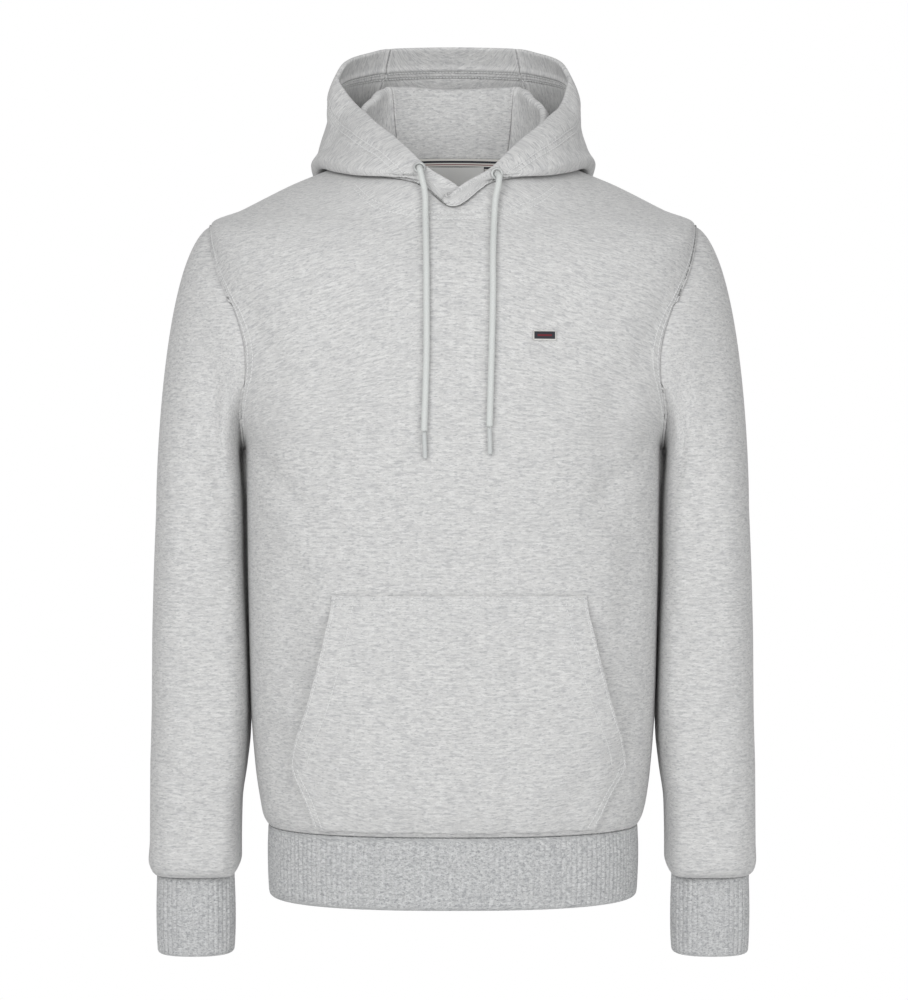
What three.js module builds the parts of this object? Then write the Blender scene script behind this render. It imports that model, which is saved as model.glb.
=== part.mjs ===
// A pullover hoodie, hanging as if worn, with the hood folded down behind the neck.
// Units are millimetres. +Z is up, the front faces -Y, and +X is the wearer's left.
// The origin is between the high shoulder points, in the middle of the neck opening.
// Every sheet is a wall of real thickness, so the body, sleeves, hood and pocket are hollow.
import * as THREE from "three";

// Wall thicknesses. The hood is two layers of cloth and the ribs are folded double.
const BODY_WALL = 1.8;
const HOOD_WALL = 3.2;
const RIB_WALL = 3.0;
const POCKET_WALL = 1.8;
const TRIM_WALL = 0.8;

// The space left at each seam.
const SEAM_GAP = 0.35;
const ARMHOLE_GAP = 0.5;

// Makes rows with named columns from rows of numbers.
function table(names, rows) {
  return rows.map((row) => Object.fromEntries(names.map((name, i) => [name, row[i]])));
}

// Body sections. `up` is the distance from the hem seam, measured up the side seam and
// then along the shoulder seam. `side` is the seam point, `front` and `back` the middle
// of each panel, and `fullness` the power of the rounded oval that joins them.
const BODY_SECTIONS = table(
  ["up", "sideX", "sideY", "sideZ", "frontY", "frontZ", "backY", "backZ", "fullness"],
  [
    [0, 175, 0, -628, -118, -628, 118, -628, 2.5],
    [11, 179.5, 0, -617, -124, -617, 123, -617, 2.5],
    [28, 183, 0, -600, -128, -600, 126, -600, 2.5],
    [54, 186.5, 0, -574, -130.5, -574, 126, -574, 2.5],
    [115, 191, 0, -513, -131, -513, 123, -513, 2.5],
    [228, 193.5, 0, -400, -130, -400, 120, -400, 2.6],
    [353, 196, 0, -275, -134, -275, 131, -275, 2.6],
    [393, 211, 0, -235, -134, -238, 133, -236, 2.6],
    [453, 222, 0, -175, -131.5, -186, 137, -178, 2.6],
    [491, 226, 0, -138, -128.5, -157, 137, -142, 2.6],
    [528, 228.5, 2, -100, -124.5, -133, 133, -107, 2.6],
    [567, 229, 5, -61, -119.5, -112, 126, -75, 2.6],
    [600, 200, 5, -47, -113, -97, 116, -50, 2.5],
    [650, 155, 6, -24, -102, -77, 94, -22, 2.4],
    [690, 117, 7, -7, -90.5, -61, 70, -5, 2.3],
    [707, 103, 8, 0, -85, -54, 62, 8, 2.2],
  ],
);
const UNDERARM_UP = 353;
const SHOULDER_UP = 567;
const NECK_UP = 707;

// How steeply a section falls from its seam to its middle, and where that starts to change.
// In front the neck falls evenly, with a notch in the middle where the hood's ends cross.
const SECTION_DROP_POWER = 1.5;
const BACK_NECK_DROP_POWER = 1.4;
const FRONT_NECK_SLOPE_SHARE = 0.58;
const FRONT_NECK_NOTCH_POWER = 40;
const NECK_DROP_START = 650;

// The corner at the shoulder point is averaged over this length of seam, at these shares,
// which fades in above the underarm and out again before the neck.
const SHOULDER_ROUNDING = 95;
const ROUNDING_SHARES = [-1, -0.6, -0.2, 0.2, 0.6, 1];
const ROUNDING_FADES_IN = 100;
const ROUNDING_FADES_OUT = 90;

// Rows of the panels below the underarm and along the shoulder.
const LOWER_ROWS = [0, 11, 28, 54, 84, 140, 228, 290, 353];
const SHOULDER_ROWS = [590, 620, 650, 678, 695, 707];
const PANEL_COLUMNS = 19;

// The armhole cut into each panel: how far it reaches in from the side seam, how low its
// deepest place lies, how square its curve is, and how fast its rows spread to even heights.
const ARMHOLE_REACH = { front: 84, back: 88 };
const ARMHOLE_LOWNESS = 0.8;
const ARMHOLE_SQUARENESS = 0.55;
const ARMHOLE_STEPS = 9;
const ROW_SPREAD = 0.6;

// Sleeve sections, for the wearer's left. The right sleeve is the mirror image.
const SLEEVE_SECTIONS = [
  { z: -330, innerX: 197.6, outerX: 280.5, centreY: 6, halfDepth: 74 },
  { z: -400, innerX: 196.1, outerX: 283, centreY: 4, halfDepth: 71 },
  { z: -460, innerX: 194.9, outerX: 284, centreY: 0, halfDepth: 67 },
  { z: -513, innerX: 193.6, outerX: 284, centreY: -4, halfDepth: 63 },
  { z: -545, innerX: 194.5, outerX: 284.5, centreY: -6, halfDepth: 61 },
  { z: -574, innerX: 197, outerX: 285, centreY: -9, halfDepth: 58 },
  { z: -609, innerX: 200.5, outerX: 285, centreY: -11, halfDepth: 56 },
  { z: -646, innerX: 201, outerX: 285, centreY: -13, halfDepth: 54 },
  { z: -668, innerX: 201, outerX: 285.5, centreY: -15, halfDepth: 52 },
  { z: -678, innerX: 203, outerX: 283.5, centreY: -16, halfDepth: 47 },
  { z: -683, innerX: 205.5, outerX: 280, centreY: -16, halfDepth: 39 },
];
const SLEEVE_ROWS = [-330, -365, -400, -460, -513, -545, -574, -609, -646, -668, -678, -683];
const SLEEVE_FULLNESS = 2.6;
const SLEEVE_CAP_STEPS = 9;
const SLEEVE_CAP_CLOSENESS = 1.5;

// How the sleeve leaves the armhole, from the underarm (share 0) to the shoulder (share 1).
const SLEEVE_LEAVING = [
  { share: 0, outX: 30, upZ: 27, endZ: -80 },
  { share: 0.5, outX: 50, upZ: -10, endZ: -130 },
  { share: 1, outX: 130, upZ: -60, endZ: -180 },
];

// Ribbed bands, from the seam down to the folded edge, where the ribs are flatter.
const RIB_PITCH = 5.2;
const RIB_HEIGHT = 0.9;
const RIB_EDGE_SHARE = 0.4;
const HEM_INSIDE_COLUMNS = 44;
const CUFF_INSIDE_COLUMNS = 20;
const HEM_RIB = [
  { z: -628.4, centreX: 0, centreY: 0, halfWidth: 174.5, halfDepth: 117.5, fullness: 2.5 },
  { z: -689, centreX: 0, centreY: 0, halfWidth: 174, halfDepth: 117, fullness: 2.5 },
  { z: -694, centreX: 0, centreY: 0, halfWidth: 172.4, halfDepth: 115.6, fullness: 2.5 },
];
const CUFF = [
  { z: -683.5, centreX: 242.5, centreY: -16, halfWidth: 36.3, halfDepth: 34, fullness: 2.3 },
  { z: -744, centreX: 242, centreY: -17, halfWidth: 36.2, halfDepth: 33, fullness: 2.3 },
  { z: -748, centreX: 242, centreY: -17, halfWidth: 35, halfDepth: 31.8, fullness: 2.3 },
];

// The neck seam, as an oval about (0, 8), in degrees of turn from the middle of the back.
const NECK = { centreY: 8, halfWidth: 103, backDepth: 54, frontDepth: 93, backZ: 8, frontZ: -54 };
const NECK_FULLNESS = 2.2;
const HOOD_LIFT = 0.9;
const HOOD_REST = 3.4;

// Hood sections. Each row is one line of cloth from the neck seam to the face edge, at
// `turn` degrees from the middle of the back. Each pair is the distance out from the neck
// seam and the height. The cloth rises to the crest, falls into the pouch behind it,
// turns at the lobe, and rises again to the face edge.
const HOOD_LEVELS = ["crest", "fall", "throat", "slope", "lobe", "bulge", "outer", "waist", "band"];
const HOOD_SECTIONS = [
  { turn: 0, crest: [14, 76.5], fall: [28, 52], throat: [48, 0], slope: [73, -60], lobe: [90, -96],
    bulge: [103, -65], outer: [98, 10], waist: [72, 75], band: [57, 102] },
  { turn: 34, crest: [-2, 75], fall: [12, 52], throat: [30, 8], slope: [52, -36], lobe: [70, -63],
    bulge: [84, -40], outer: [80, 15], waist: [56, 66], band: [41, 92] },
  { turn: 64, crest: [-18, 60], fall: [-9, 43], throat: [6, 13], slope: [22, -7], lobe: [36, -18],
    bulge: [43, -6], outer: [37, 16], waist: [29, 42], band: [27, 66] },
  { turn: 90, crest: [-17, 44], fall: [-9, 34], throat: [2, 16], slope: [13, 0], lobe: [24, -8],
    bulge: [30, 0], outer: [20, 12], waist: [14, 26], band: [9, 41] },
  { turn: 115, crest: [-16, 22], fall: [-9, 14], throat: [-1, 2], slope: [6, -9], lobe: [14, -17],
    bulge: [19, -8], outer: [12, 4], waist: [5, 15], band: [-3, 26] },
  { turn: 135, crest: [-12, -2], fall: [-8, -5], throat: [-2, -11], slope: [4, -18], lobe: [11, -24],
    bulge: [15, -18], outer: [9, -8], waist: [3, 0], band: [-6, 9] },
  { turn: 150, crest: [-3, -21.5], fall: [-2, -21], throat: [0, -21.8], slope: [2.5, -24], lobe: [5, -26.5],
    bulge: [6, -22.5], outer: [4, -16.5], waist: [1, -10.5], band: [-4, -4.5] },
  { turn: 165, crest: [0, -34], fall: [0, -33.2], throat: [0.3, -32.4], slope: [0.6, -31.6], lobe: [1, -30.6],
    bulge: [1, -29], outer: [0.5, -27], waist: [0, -24.5], band: [-1, -22] },
  { turn: 180, crest: [0.2, -52], fall: [0.4, -50.6], throat: [0.6, -49.3], slope: [0.8, -48],
    lobe: [1, -46.7], bulge: [1.5, -45.2], outer: [2, -43.6], waist: [2.4, -41.8], band: [2.7, -39.7] },
  { turn: 185, crest: [0.2, -49.4], fall: [0.4, -49], throat: [0.6, -48.6], slope: [0.8, -48.2],
    lobe: [1, -47.8], bulge: [1.2, -47.4], outer: [1.5, -47], waist: [1.7, -46.5], band: [1.9, -46] },
];
const HOOD_RIM = [
  { turn: 0, out: 43, z: 127 }, { turn: 22, out: 37.5, z: 122.5 }, { turn: 34, out: 30, z: 115.5 },
  { turn: 54, out: 21, z: 102 }, { turn: 64, out: 18, z: 88 }, { turn: 78, out: 5, z: 69.5 },
  { turn: 95, out: -7, z: 51.5 }, { turn: 112, out: -14.7, z: 38 }, { turn: 135, out: -16.5, z: 18 },
  { turn: 150, out: -10, z: 2.2 }, { turn: 165, out: -2, z: -19.3 }, { turn: 180, out: 3, z: -37 },
  { turn: 185, out: 2.1, z: -45.4 },
];

// The face edge lies a little towards the wearer's left, from the sides to the front.
const HOOD_SLIDE = { distance: 6, fromTurn: 60, toTurn: 100, fromLevel: 5, toLevel: 9.5 };

// Round the front, the hood's columns meet those of the front panel, up to the one past
// the middle.
const HOOD_FRONT_COLUMNS = 6;
const HOOD_END_TURN = 180 + 90 / PANEL_COLUMNS;
const HOOD_FRONT_TURN = HOOD_END_TURN - (HOOD_FRONT_COLUMNS * 180) / PANEL_COLUMNS;
const HOOD_NORMAL_STEP = { turn: 0.6, level: 0.12 };
const SMALLEST_GAP = 0.01;

// Where the middle panel of the hood is seamed to the side panels, by level.
const HOOD_SEAM = [
  { level: 0, turn: 30 }, { level: 1, turn: 38 }, { level: 3, turn: 30 }, { level: 5, turn: 24 },
  { level: 6, turn: 23 }, { level: 8, turn: 22.5 }, { level: 9, turn: 22.5 }, { level: 10, turn: 22.5 },
];
const HOOD_SEAM_HALF_GAP = 0.16;
const HOOD_ROWS_A_LEVEL = 2;
const HOOD_SIDE_COLUMNS = 17;
const HOOD_MIDDLE_COLUMNS = 9;

// The face edge of the wearer's left crosses over the right, this far in front of it.
const CROSSOVER_LIFT = 4.9;
const CROSSOVER_TUCK = 1;
const CROSSOVER_SINK = 1;
const CROSSOVER_START = 154;
const CROSSOVER_FULL = 172;

// The kangaroo pocket, from the top edge down to the hem seam.
const POCKET_EDGE = [
  { z: -409, halfWidth: 114.5, open: 0 },
  { z: -420, halfWidth: 119.5, open: 0.1 },
  { z: -445, halfWidth: 129, open: 0.75 },
  { z: -480, halfWidth: 139.3, open: 1 },
  { z: -520, halfWidth: 148, open: 0.8 },
  { z: -548, halfWidth: 151.8, open: 0.3 },
  { z: -564, halfWidth: 153, open: 0 },
  { z: -594, halfWidth: 139, open: 0 },
  { z: -622, halfWidth: 126, open: 0 },
];
const POCKET_ROWS = [-409, -420, -436, -455, -480, -505, -530, -550, -564, -586, -600, -612, -622];
const POCKET_COLUMNS = 19;
const POCKET_SEWN_OFFSET = 2.9;
const POCKET_MIDDLE_OFFSET = 4.2;
const POCKET_GAPE = 9.5;
const POCKET_GAPE_FROM = 0.45;
const POCKET_RISE_UNTIL = 0.8;
const POCKET_RISE_LENGTH = { top: 31, bottom: 32 };

// The drawstring, whose two free ends hang from the eyelets. Each pair is an x and a
// height, and they run down each end.
const CORD_RADIUS = 2.9;
const CORD_SIDES = 10;
const CORD_STEPS = 28;
const CORD_TIP_RADIUS = 2.1;
const CORD_TIP_LENGTH = 24;
const CORD_TIP_SIDES = 12;
const CORD_TIP_EDGE = 0.04;
const CORD_TIP_EDGE_RADIUS = 1.68;
const CORD_TIP_SPACE = { along: 0.4, fromCloth: 1.2 };
const CORD_ENDS = {
  right: {
    eyelet: [-30.9, -18.6],
    path: [
      [-26.2, -46], [-25.2, -62], [-24.2, -92], [-23.8, -112], [-23.6, -140], [-23.5, -190], [-25.6, -262],
    ],
    tipEnd: [-24.6, -286],
  },
  left: {
    eyelet: [40, -24.6],
    path: [
      [38.4, -52], [37.4, -70], [36.4, -93], [36, -112], [35.8, -140], [34.6, -190], [32.6, -258],
    ],
    tipEnd: [33.2, -283],
  },
};

// How a cord leaves its eyelet: distances out along the band's normal, and the first drop.
const CORD_LEAVING = [
  { out: 1.2, down: 0 },
  { out: 4.8, down: 0 },
  { out: 9.2, down: 5.2 },
];
const CORD_FIRST_SPACE = 3.2;
const CORD_SPACE = 1.1;

const EYELET = {
  outerRadius: 6, holeRadius: 3.4, thickness: 1.3, edge: 0.3, shoulder: 0.6, seat: 1.35, sides: 20,
};

// Where the band's surface is searched for a place, in turn and level.
const BAND_SEARCH = { turnFrom: 150, turnTo: 178, turnStep: 0.5, levelFrom: 5, levelTo: 10, levelStep: 0.1 };

// Small sewn trim. A bow is how far the middle stands out from the ends.
const TAPE = { width: 11.6, halfTurn: 84, offset: 4.5, top: 1.2, lean: 0.8, columns: 28, rises: [0, 0.5, 1] };
const LABEL = { width: 60, height: 42, top: 0.5, y: 55.5, bow: 2.2, wave: 1.2, steps: 6 };
const BADGE = { x: 82.3, z: -175.5, width: 21, height: 8.8, offset: 1.3, rows: 2, columns: 4 };

// How finely a search halves its range, and the step for a surface's slope in millimetres.
const HALVINGS = 26;
const SLOPE_STEP = 1.5;
const NO_CLOTH = -1000;
const TOP_SEARCH_LENGTH = 100;

// Colours and finishes.
function cloth(color) {
  return new THREE.MeshStandardMaterial({ color, roughness: 0.92, metalness: 0 });
}
const FLEECE = cloth(0xd0d0ce);
const RIB_CLOTH = cloth(0xc3c5c4);
const CORD_CLOTH = cloth(0xd6dad7);
const TAPE_CLOTH = cloth(0xe8e6df);
const BADGE_CLOTH = cloth(0x3b3d42);
const EYELET_METAL = new THREE.MeshStandardMaterial({ color: 0xc4c6c6, roughness: 0.5, metalness: 0.4 });

// Interpolates one column of a table smoothly, without overshoot.
function smoothColumn(rows, key, pick, flatStart = false) {
  const xs = rows.map((row) => row[key]);
  const ys = rows.map(pick);
  const count = xs.length;
  const slopes = [];
  for (let i = 0; i < count - 1; i += 1) {
    slopes.push((ys[i + 1] - ys[i]) / (xs[i + 1] - xs[i]));
  }
  const tangents = [flatStart ? 0 : slopes[0]];
  for (let i = 1; i < count - 1; i += 1) {
    const before = slopes[i - 1];
    const after = slopes[i];
    if (before * after <= 0) {
      tangents.push(0);
    } else {
      const wBefore = 2 * (xs[i + 1] - xs[i]) + (xs[i] - xs[i - 1]);
      const wAfter = (xs[i + 1] - xs[i]) + 2 * (xs[i] - xs[i - 1]);
      tangents.push((wBefore + wAfter) / (wBefore / before + wAfter / after));
    }
  }
  tangents.push(slopes[count - 2]);
  return (x) => {
    const at = Math.min(Math.max(x, xs[0]), xs[count - 1]);
    let i = 0;
    while (i < count - 2 && at > xs[i + 1]) {
      i += 1;
    }
    const width = xs[i + 1] - xs[i];
    const t = (at - xs[i]) / width;
    const rest = 1 - t;
    return ys[i] * (1 + 2 * t) * rest * rest + tangents[i] * width * t * rest * rest
      + ys[i + 1] * t * t * (3 - 2 * t) - tangents[i + 1] * width * t * t * rest;
  };
}

function smoothStep(from, to, x) {
  const t = Math.min(Math.max((x - from) / (to - from), 0), 1);
  return t * t * (3 - 2 * t);
}

// Radius of a rounded oval of unit half axes, at a turn from its first axis.
function ovalRadius(turn, fullness) {
  const c = Math.abs(Math.cos(turn)) ** fullness;
  const s = Math.abs(Math.sin(turn)) ** fullness;
  return (c + s) ** (-1 / fullness);
}

// The body as a surface: every section column as a function of `up`, read every 1 mm.
const BODY_COLUMNS = {};
for (const name of ["sideX", "sideY", "sideZ", "frontY", "frontZ", "backY", "backZ", "fullness"]) {
  const exact = smoothColumn(BODY_SECTIONS, "up", (row) => row[name]);
  BODY_COLUMNS[name] = Array.from({ length: NECK_UP + 1 }, (_, up) => exact(up));
}

function bodyColumn(name, up) {
  const at = Math.min(Math.max(up, 0), NECK_UP - 1e-9);
  const low = Math.floor(at);
  const values = BODY_COLUMNS[name];
  return values[low] + (values[low + 1] - values[low]) * (at - low);
}

// The corner at the shoulder point is sharp at the seam and rounds off across the panel:
// there the side line is averaged over a length of seam that grows with the turn.
function roundedColumn(name, up, turn) {
  const reach = SHOULDER_ROUNDING * Math.sin(turn) ** 2
    * smoothStep(UNDERARM_UP, UNDERARM_UP + ROUNDING_FADES_IN, up)
    * smoothStep(NECK_UP, NECK_UP - ROUNDING_FADES_OUT, up);
  let sum = 0;
  for (const share of ROUNDING_SHARES) {
    sum += bodyColumn(name, up + reach * share);
  }
  return sum / ROUNDING_SHARES.length;
}

function bodySection(face, up) {
  const section = {};
  for (const name of Object.keys(BODY_COLUMNS)) {
    section[name] = bodyColumn(name, up);
  }
  section.faceY = section[`${face}Y`];
  section.faceZ = section[`${face}Z`];
  section.nearNeck = smoothStep(NECK_DROP_START, NECK_UP, up);
  return section;
}

// The share of the neck's whole drop that is reached at a share of the way to its middle.
function neckDrop(face, across) {
  if (face === "back") {
    return across ** BACK_NECK_DROP_POWER;
  }
  return FRONT_NECK_SLOPE_SHARE * across + (1 - FRONT_NECK_SLOPE_SHARE) * across ** FRONT_NECK_NOTCH_POWER;
}

// A point of one face of the body, from the wearer's left (turn 0) to the right (turn pi).
function bodyPoint(face, up, turn) {
  const s = bodySection(face, up);
  const radius = ovalRadius(turn, s.fullness);
  const across = Math.abs(Math.sin(turn));
  const sideZ = roundedColumn("sideZ", up, turn);
  const plainDrop = across ** SECTION_DROP_POWER;
  const drop = plainDrop + (neckDrop(face, across) - plainDrop) * s.nearNeck;
  return new THREE.Vector3(
    roundedColumn("sideX", up, turn) * radius * Math.cos(turn),
    s.sideY + (s.faceY - s.sideY) * radius * across,
    sideZ + (s.faceZ - sideZ) * drop,
  );
}

// The turn at which the armhole edge crosses a section.
function armholeTurn(face, up) {
  if (up <= UNDERARM_UP || up >= SHOULDER_UP) {
    return 0;
  }
  const q = (up - UNDERARM_UP) / (SHOULDER_UP - UNDERARM_UP);
  const s = bodySection(face, up);
  const reach = ARMHOLE_REACH[face] * Math.sin(Math.PI * q ** ARMHOLE_LOWNESS) ** ARMHOLE_SQUARENESS;
  const deep = reach / Math.abs(s.faceY - s.sideY);
  const wide = (1 - deep ** s.fullness) ** (1 / s.fullness);
  return Math.atan2(deep, wide);
}

// Sections through the armhole, spaced evenly along its front edge.
function armholeRows() {
  const fine = 400;
  const ups = [];
  const lengths = [0];
  let last = null;
  for (let i = 0; i <= fine; i += 1) {
    const up = UNDERARM_UP + (SHOULDER_UP - UNDERARM_UP) * (i / fine);
    const point = bodyPoint("front", up, armholeTurn("front", up));
    ups.push(up);
    if (last) {
      lengths.push(lengths[lengths.length - 1] + point.distanceTo(last));
    }
    last = point;
  }
  const rows = [];
  let index = 0;
  for (let k = 1; k <= ARMHOLE_STEPS; k += 1) {
    const target = (lengths[fine] * k) / ARMHOLE_STEPS;
    while (index < fine - 1 && lengths[index + 1] < target) {
      index += 1;
    }
    const share = (target - lengths[index]) / (lengths[index + 1] - lengths[index]);
    rows.push(ups[index] + (ups[index + 1] - ups[index]) * Math.min(share, 1));
  }
  return rows;
}
const ARMHOLE_ROWS = armholeRows();
const PANEL_ROWS = [...LOWER_ROWS, ...ARMHOLE_ROWS, ...SHOULDER_ROWS];

// Across the panel, a row that meets the armhole spreads to an even height.
function rowUp(index, share) {
  const step = index - (LOWER_ROWS.length - 1);
  if (step <= 0 || step >= ARMHOLE_STEPS) {
    return PANEL_ROWS[index];
  }
  const even = UNDERARM_UP + ((SHOULDER_UP - UNDERARM_UP) * step) / ARMHOLE_STEPS;
  return PANEL_ROWS[index] + (even - PANEL_ROWS[index]) * Math.sin(Math.PI * share) ** ROW_SPREAD;
}

// The point of one section of a face that lies at a given x.
function sectionAtX(face, up, x) {
  let low = 0;
  let high = Math.PI / 2;
  for (let i = 0; i < HALVINGS; i += 1) {
    const middle = (low + high) / 2;
    if (bodyPoint(face, up, middle).x > Math.abs(x)) {
      low = middle;
    } else {
      high = middle;
    }
  }
  return bodyPoint(face, up, low);
}

// Halves a range of `up` until it meets the place where a test turns false.
function meetUp(low, high, test) {
  let below = low;
  let above = high;
  for (let i = 0; i < HALVINGS; i += 1) {
    const middle = (below + above) / 2;
    if (test(middle)) {
      below = middle;
    } else {
      above = middle;
    }
  }
  return below;
}

// Height of the top of the body at a plan position, or far below where there is none.
function bodyTop(x, y) {
  const face = y < NECK.centreY ? "front" : "back";
  const inside = (up) => {
    if (bodyPoint(face, up, 0).x < Math.abs(x)) {
      return false;
    }
    return Math.abs(sectionAtX(face, up, x).y - NECK.centreY) > Math.abs(y - NECK.centreY);
  };
  const low = SHOULDER_UP - TOP_SEARCH_LENGTH;
  if (!inside(low) || inside(NECK_UP)) {
    return NO_CLOTH;
  }
  return sectionAtX(face, meetUp(low, NECK_UP, inside), x).z;
}

// The point of the front panel seen at a given x and height.
function frontPoint(x, z) {
  const up = meetUp(0, NECK_UP, (at) => sectionAtX("front", at, x).z < z);
  return new THREE.Vector3(x, sectionAtX("front", up, x).y, z);
}

// Outward normal of the front panel at a given x and height.
function frontNormal(x, z) {
  const acrossX = frontPoint(x + SLOPE_STEP, z).sub(frontPoint(x - SLOPE_STEP, z));
  const acrossZ = frontPoint(x, z + SLOPE_STEP).sub(frontPoint(x, z - SLOPE_STEP));
  return acrossX.cross(acrossZ).normalize();
}

function frontOffset(x, z, distance) {
  return frontPoint(x, z).addScaledVector(frontNormal(x, z), distance);
}

// Normals at the corners of a grid of points, averaged from the faces that meet there.
function gridNormals(grid, wrap) {
  const rows = grid.length;
  const columns = grid[0].length;
  const normals = grid.map((row) => row.map(() => new THREE.Vector3()));
  const lastColumn = wrap ? columns : columns - 1;
  for (let r = 0; r < rows - 1; r += 1) {
    for (let c = 0; c < lastColumn; c += 1) {
      const d = (c + 1) % columns;
      const along = grid[r + 1][d].clone().sub(grid[r][c]);
      const other = grid[r + 1][c].clone().sub(grid[r][d]);
      const face = along.cross(other);
      for (const [i, j] of [[r, c], [r, d], [r + 1, c], [r + 1, d]]) {
        normals[i][j].add(face);
      }
    }
  }
  return normals.map((row) => row.map((normal) => normal.normalize()));
}

// Volume inside a closed list of triangles; negative when they face inwards.
function signedVolume(points, faces) {
  let sum = 0;
  const crossed = new THREE.Vector3();
  for (const [a, b, c] of faces) {
    crossed.crossVectors(points[b], points[c]);
    sum += points[a].dot(crossed) / 6;
  }
  return sum;
}

function solidMesh(name, material, points, faces) {
  const turned = signedVolume(points, faces) < 0;
  const geometry = new THREE.BufferGeometry();
  const positions = points.flatMap((p) => [p.x, p.y, p.z]);
  const index = faces.flatMap(([a, b, c]) => (turned ? [a, c, b] : [a, b, c]));
  geometry.setAttribute("position", new THREE.Float32BufferAttribute(positions, 3));
  geometry.setIndex(index);
  const mesh = new THREE.Mesh(geometry, material);
  mesh.name = name;
  return mesh;
}

// A closed wall between an outer and an inner grid of points of the same size.
function wallMesh(name, material, outer, inner, wrap = false) {
  const rows = outer.length;
  const columns = outer[0].length;
  const points = [...outer.flat(), ...inner.flat()];
  const half = rows * columns;
  const faces = [];
  const quad = (a, b, c, d) => {
    faces.push([a, b, c]);
    faces.push([a, c, d]);
  };
  const lastColumn = wrap ? columns : columns - 1;
  for (let r = 0; r < rows - 1; r += 1) {
    const here = r * columns;
    const next = here + columns;
    for (let c = 0; c < lastColumn; c += 1) {
      const d = (c + 1) % columns;
      quad(here + c, here + d, next + d, next + c);
      quad(half + here + c, half + next + c, half + next + d, half + here + d);
    }
  }
  for (let c = 0; c < lastColumn; c += 1) {
    const d = (c + 1) % columns;
    const top = (rows - 1) * columns;
    quad(c, half + c, half + d, d);
    quad(top + c, top + d, half + top + d, half + top + c);
  }
  if (!wrap) {
    for (let r = 0; r < rows - 1; r += 1) {
      const here = r * columns;
      const next = (r + 1) * columns;
      const end = columns - 1;
      quad(here, next, half + next, half + here);
      quad(here + end, half + here + end, half + next + end, next + end);
    }
  }
  return solidMesh(name, material, points, faces);
}

// Moves a grid along its normals.
function offsetGrid(grid, normals, distance) {
  const moved = (point, normal) => point.clone().addScaledVector(normal, distance);
  return grid.map((row, r) => row.map((point, c) => moved(point, normals[r][c])));
}

// One body panel, with the armholes cut in at each side.
function panelGrid(face) {
  const grid = [];
  for (const [r, up] of PANEL_ROWS.entries()) {
    const s = bodySection(face, up);
    const smallest = (SEAM_GAP / 2) / Math.abs(s.faceY - s.sideY);
    const edge = Math.max(armholeTurn(face, up), smallest);
    const row = [];
    for (let c = 0; c <= PANEL_COLUMNS; c += 1) {
      const turn = edge + (Math.PI - 2 * edge) * (c / PANEL_COLUMNS);
      row.push(bodyPoint(face, rowUp(r, c / PANEL_COLUMNS), turn));
    }
    grid.push(row);
  }
  return grid;
}

function panelNormals(face, grid) {
  const normals = gridNormals(grid, false);
  const facing = face === "front" ? -1 : 1;
  const middle = normals[4][Math.floor(PANEL_COLUMNS / 2)];
  if (middle.y * facing < 0) {
    normals.forEach((row) => row.forEach((normal) => normal.negate()));
  }
  // At the side and shoulder seams both panels share one upright seam plane.
  PANEL_ROWS.forEach((up, r) => {
    if (up <= UNDERARM_UP || up >= SHOULDER_UP - 0.01) {
      for (const c of [0, PANEL_COLUMNS]) {
        normals[r][c].y = 0;
        normals[r][c].normalize();
      }
    }
  });
  return normals;
}

const PANELS = {};
for (const face of ["front", "back"]) {
  const grid = panelGrid(face);
  PANELS[face] = { grid, normals: panelNormals(face, grid) };
}

function bodyPanel(face) {
  const { grid, normals } = PANELS[face];
  return wallMesh(`${face}_body`, FLEECE, grid, offsetGrid(grid, normals, -BODY_WALL));
}

function panelEdge(face, row) {
  return { point: PANELS[face].grid[row][0].clone(), normal: PANELS[face].normals[row][0].clone() };
}

// The armhole edge of the wearer's left: shoulder point, front, underarm, back.
function armholeEdge() {
  const first = LOWER_ROWS.length - 1;
  const last = first + ARMHOLE_STEPS;
  const loop = [];
  for (let r = last; r >= first; r -= 1) {
    loop.push(panelEdge("front", r));
  }
  for (let r = first + 1; r < last; r += 1) {
    loop.push(panelEdge("back", r));
  }
  loop[0].point.y = bodySection("front", SHOULDER_UP).sideY;
  loop[ARMHOLE_STEPS].point.y = 0;
  return loop;
}

// The direction across the armhole edge, within the cloth, towards the arm.
function intoArmhole(loop, i) {
  const count = loop.length;
  const along = loop[(i + 1) % count].point.clone().sub(loop[(i + count - 1) % count].point);
  const across = along.cross(loop[i].normal).normalize();
  const centre = new THREE.Vector3();
  loop.forEach((entry) => centre.addScaledVector(entry.point, 1 / count));
  if (across.dot(centre.sub(loop[i].point)) < 0) {
    across.negate();
  }
  return across;
}

const SLEEVE_COLUMNS = {};
for (const name of ["innerX", "outerX", "centreY", "halfDepth"]) {
  SLEEVE_COLUMNS[name] = smoothColumn([...SLEEVE_SECTIONS].reverse(), "z", (row) => row[name]);
}
const LEAVING = {};
for (const name of ["outX", "upZ", "endZ"]) {
  LEAVING[name] = smoothColumn(SLEEVE_LEAVING, "share", (row) => row[name]);
}

function sleevePoint(z, turn) {
  const inner = SLEEVE_COLUMNS.innerX(z);
  const outer = SLEEVE_COLUMNS.outerX(z);
  const radius = ovalRadius(turn, SLEEVE_FULLNESS);
  return new THREE.Vector3(
    (inner + outer) / 2 + ((outer - inner) / 2) * radius * Math.cos(turn),
    SLEEVE_COLUMNS.centreY(z) - SLEEVE_COLUMNS.halfDepth(z) * radius * Math.sin(turn),
    z,
  );
}

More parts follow.
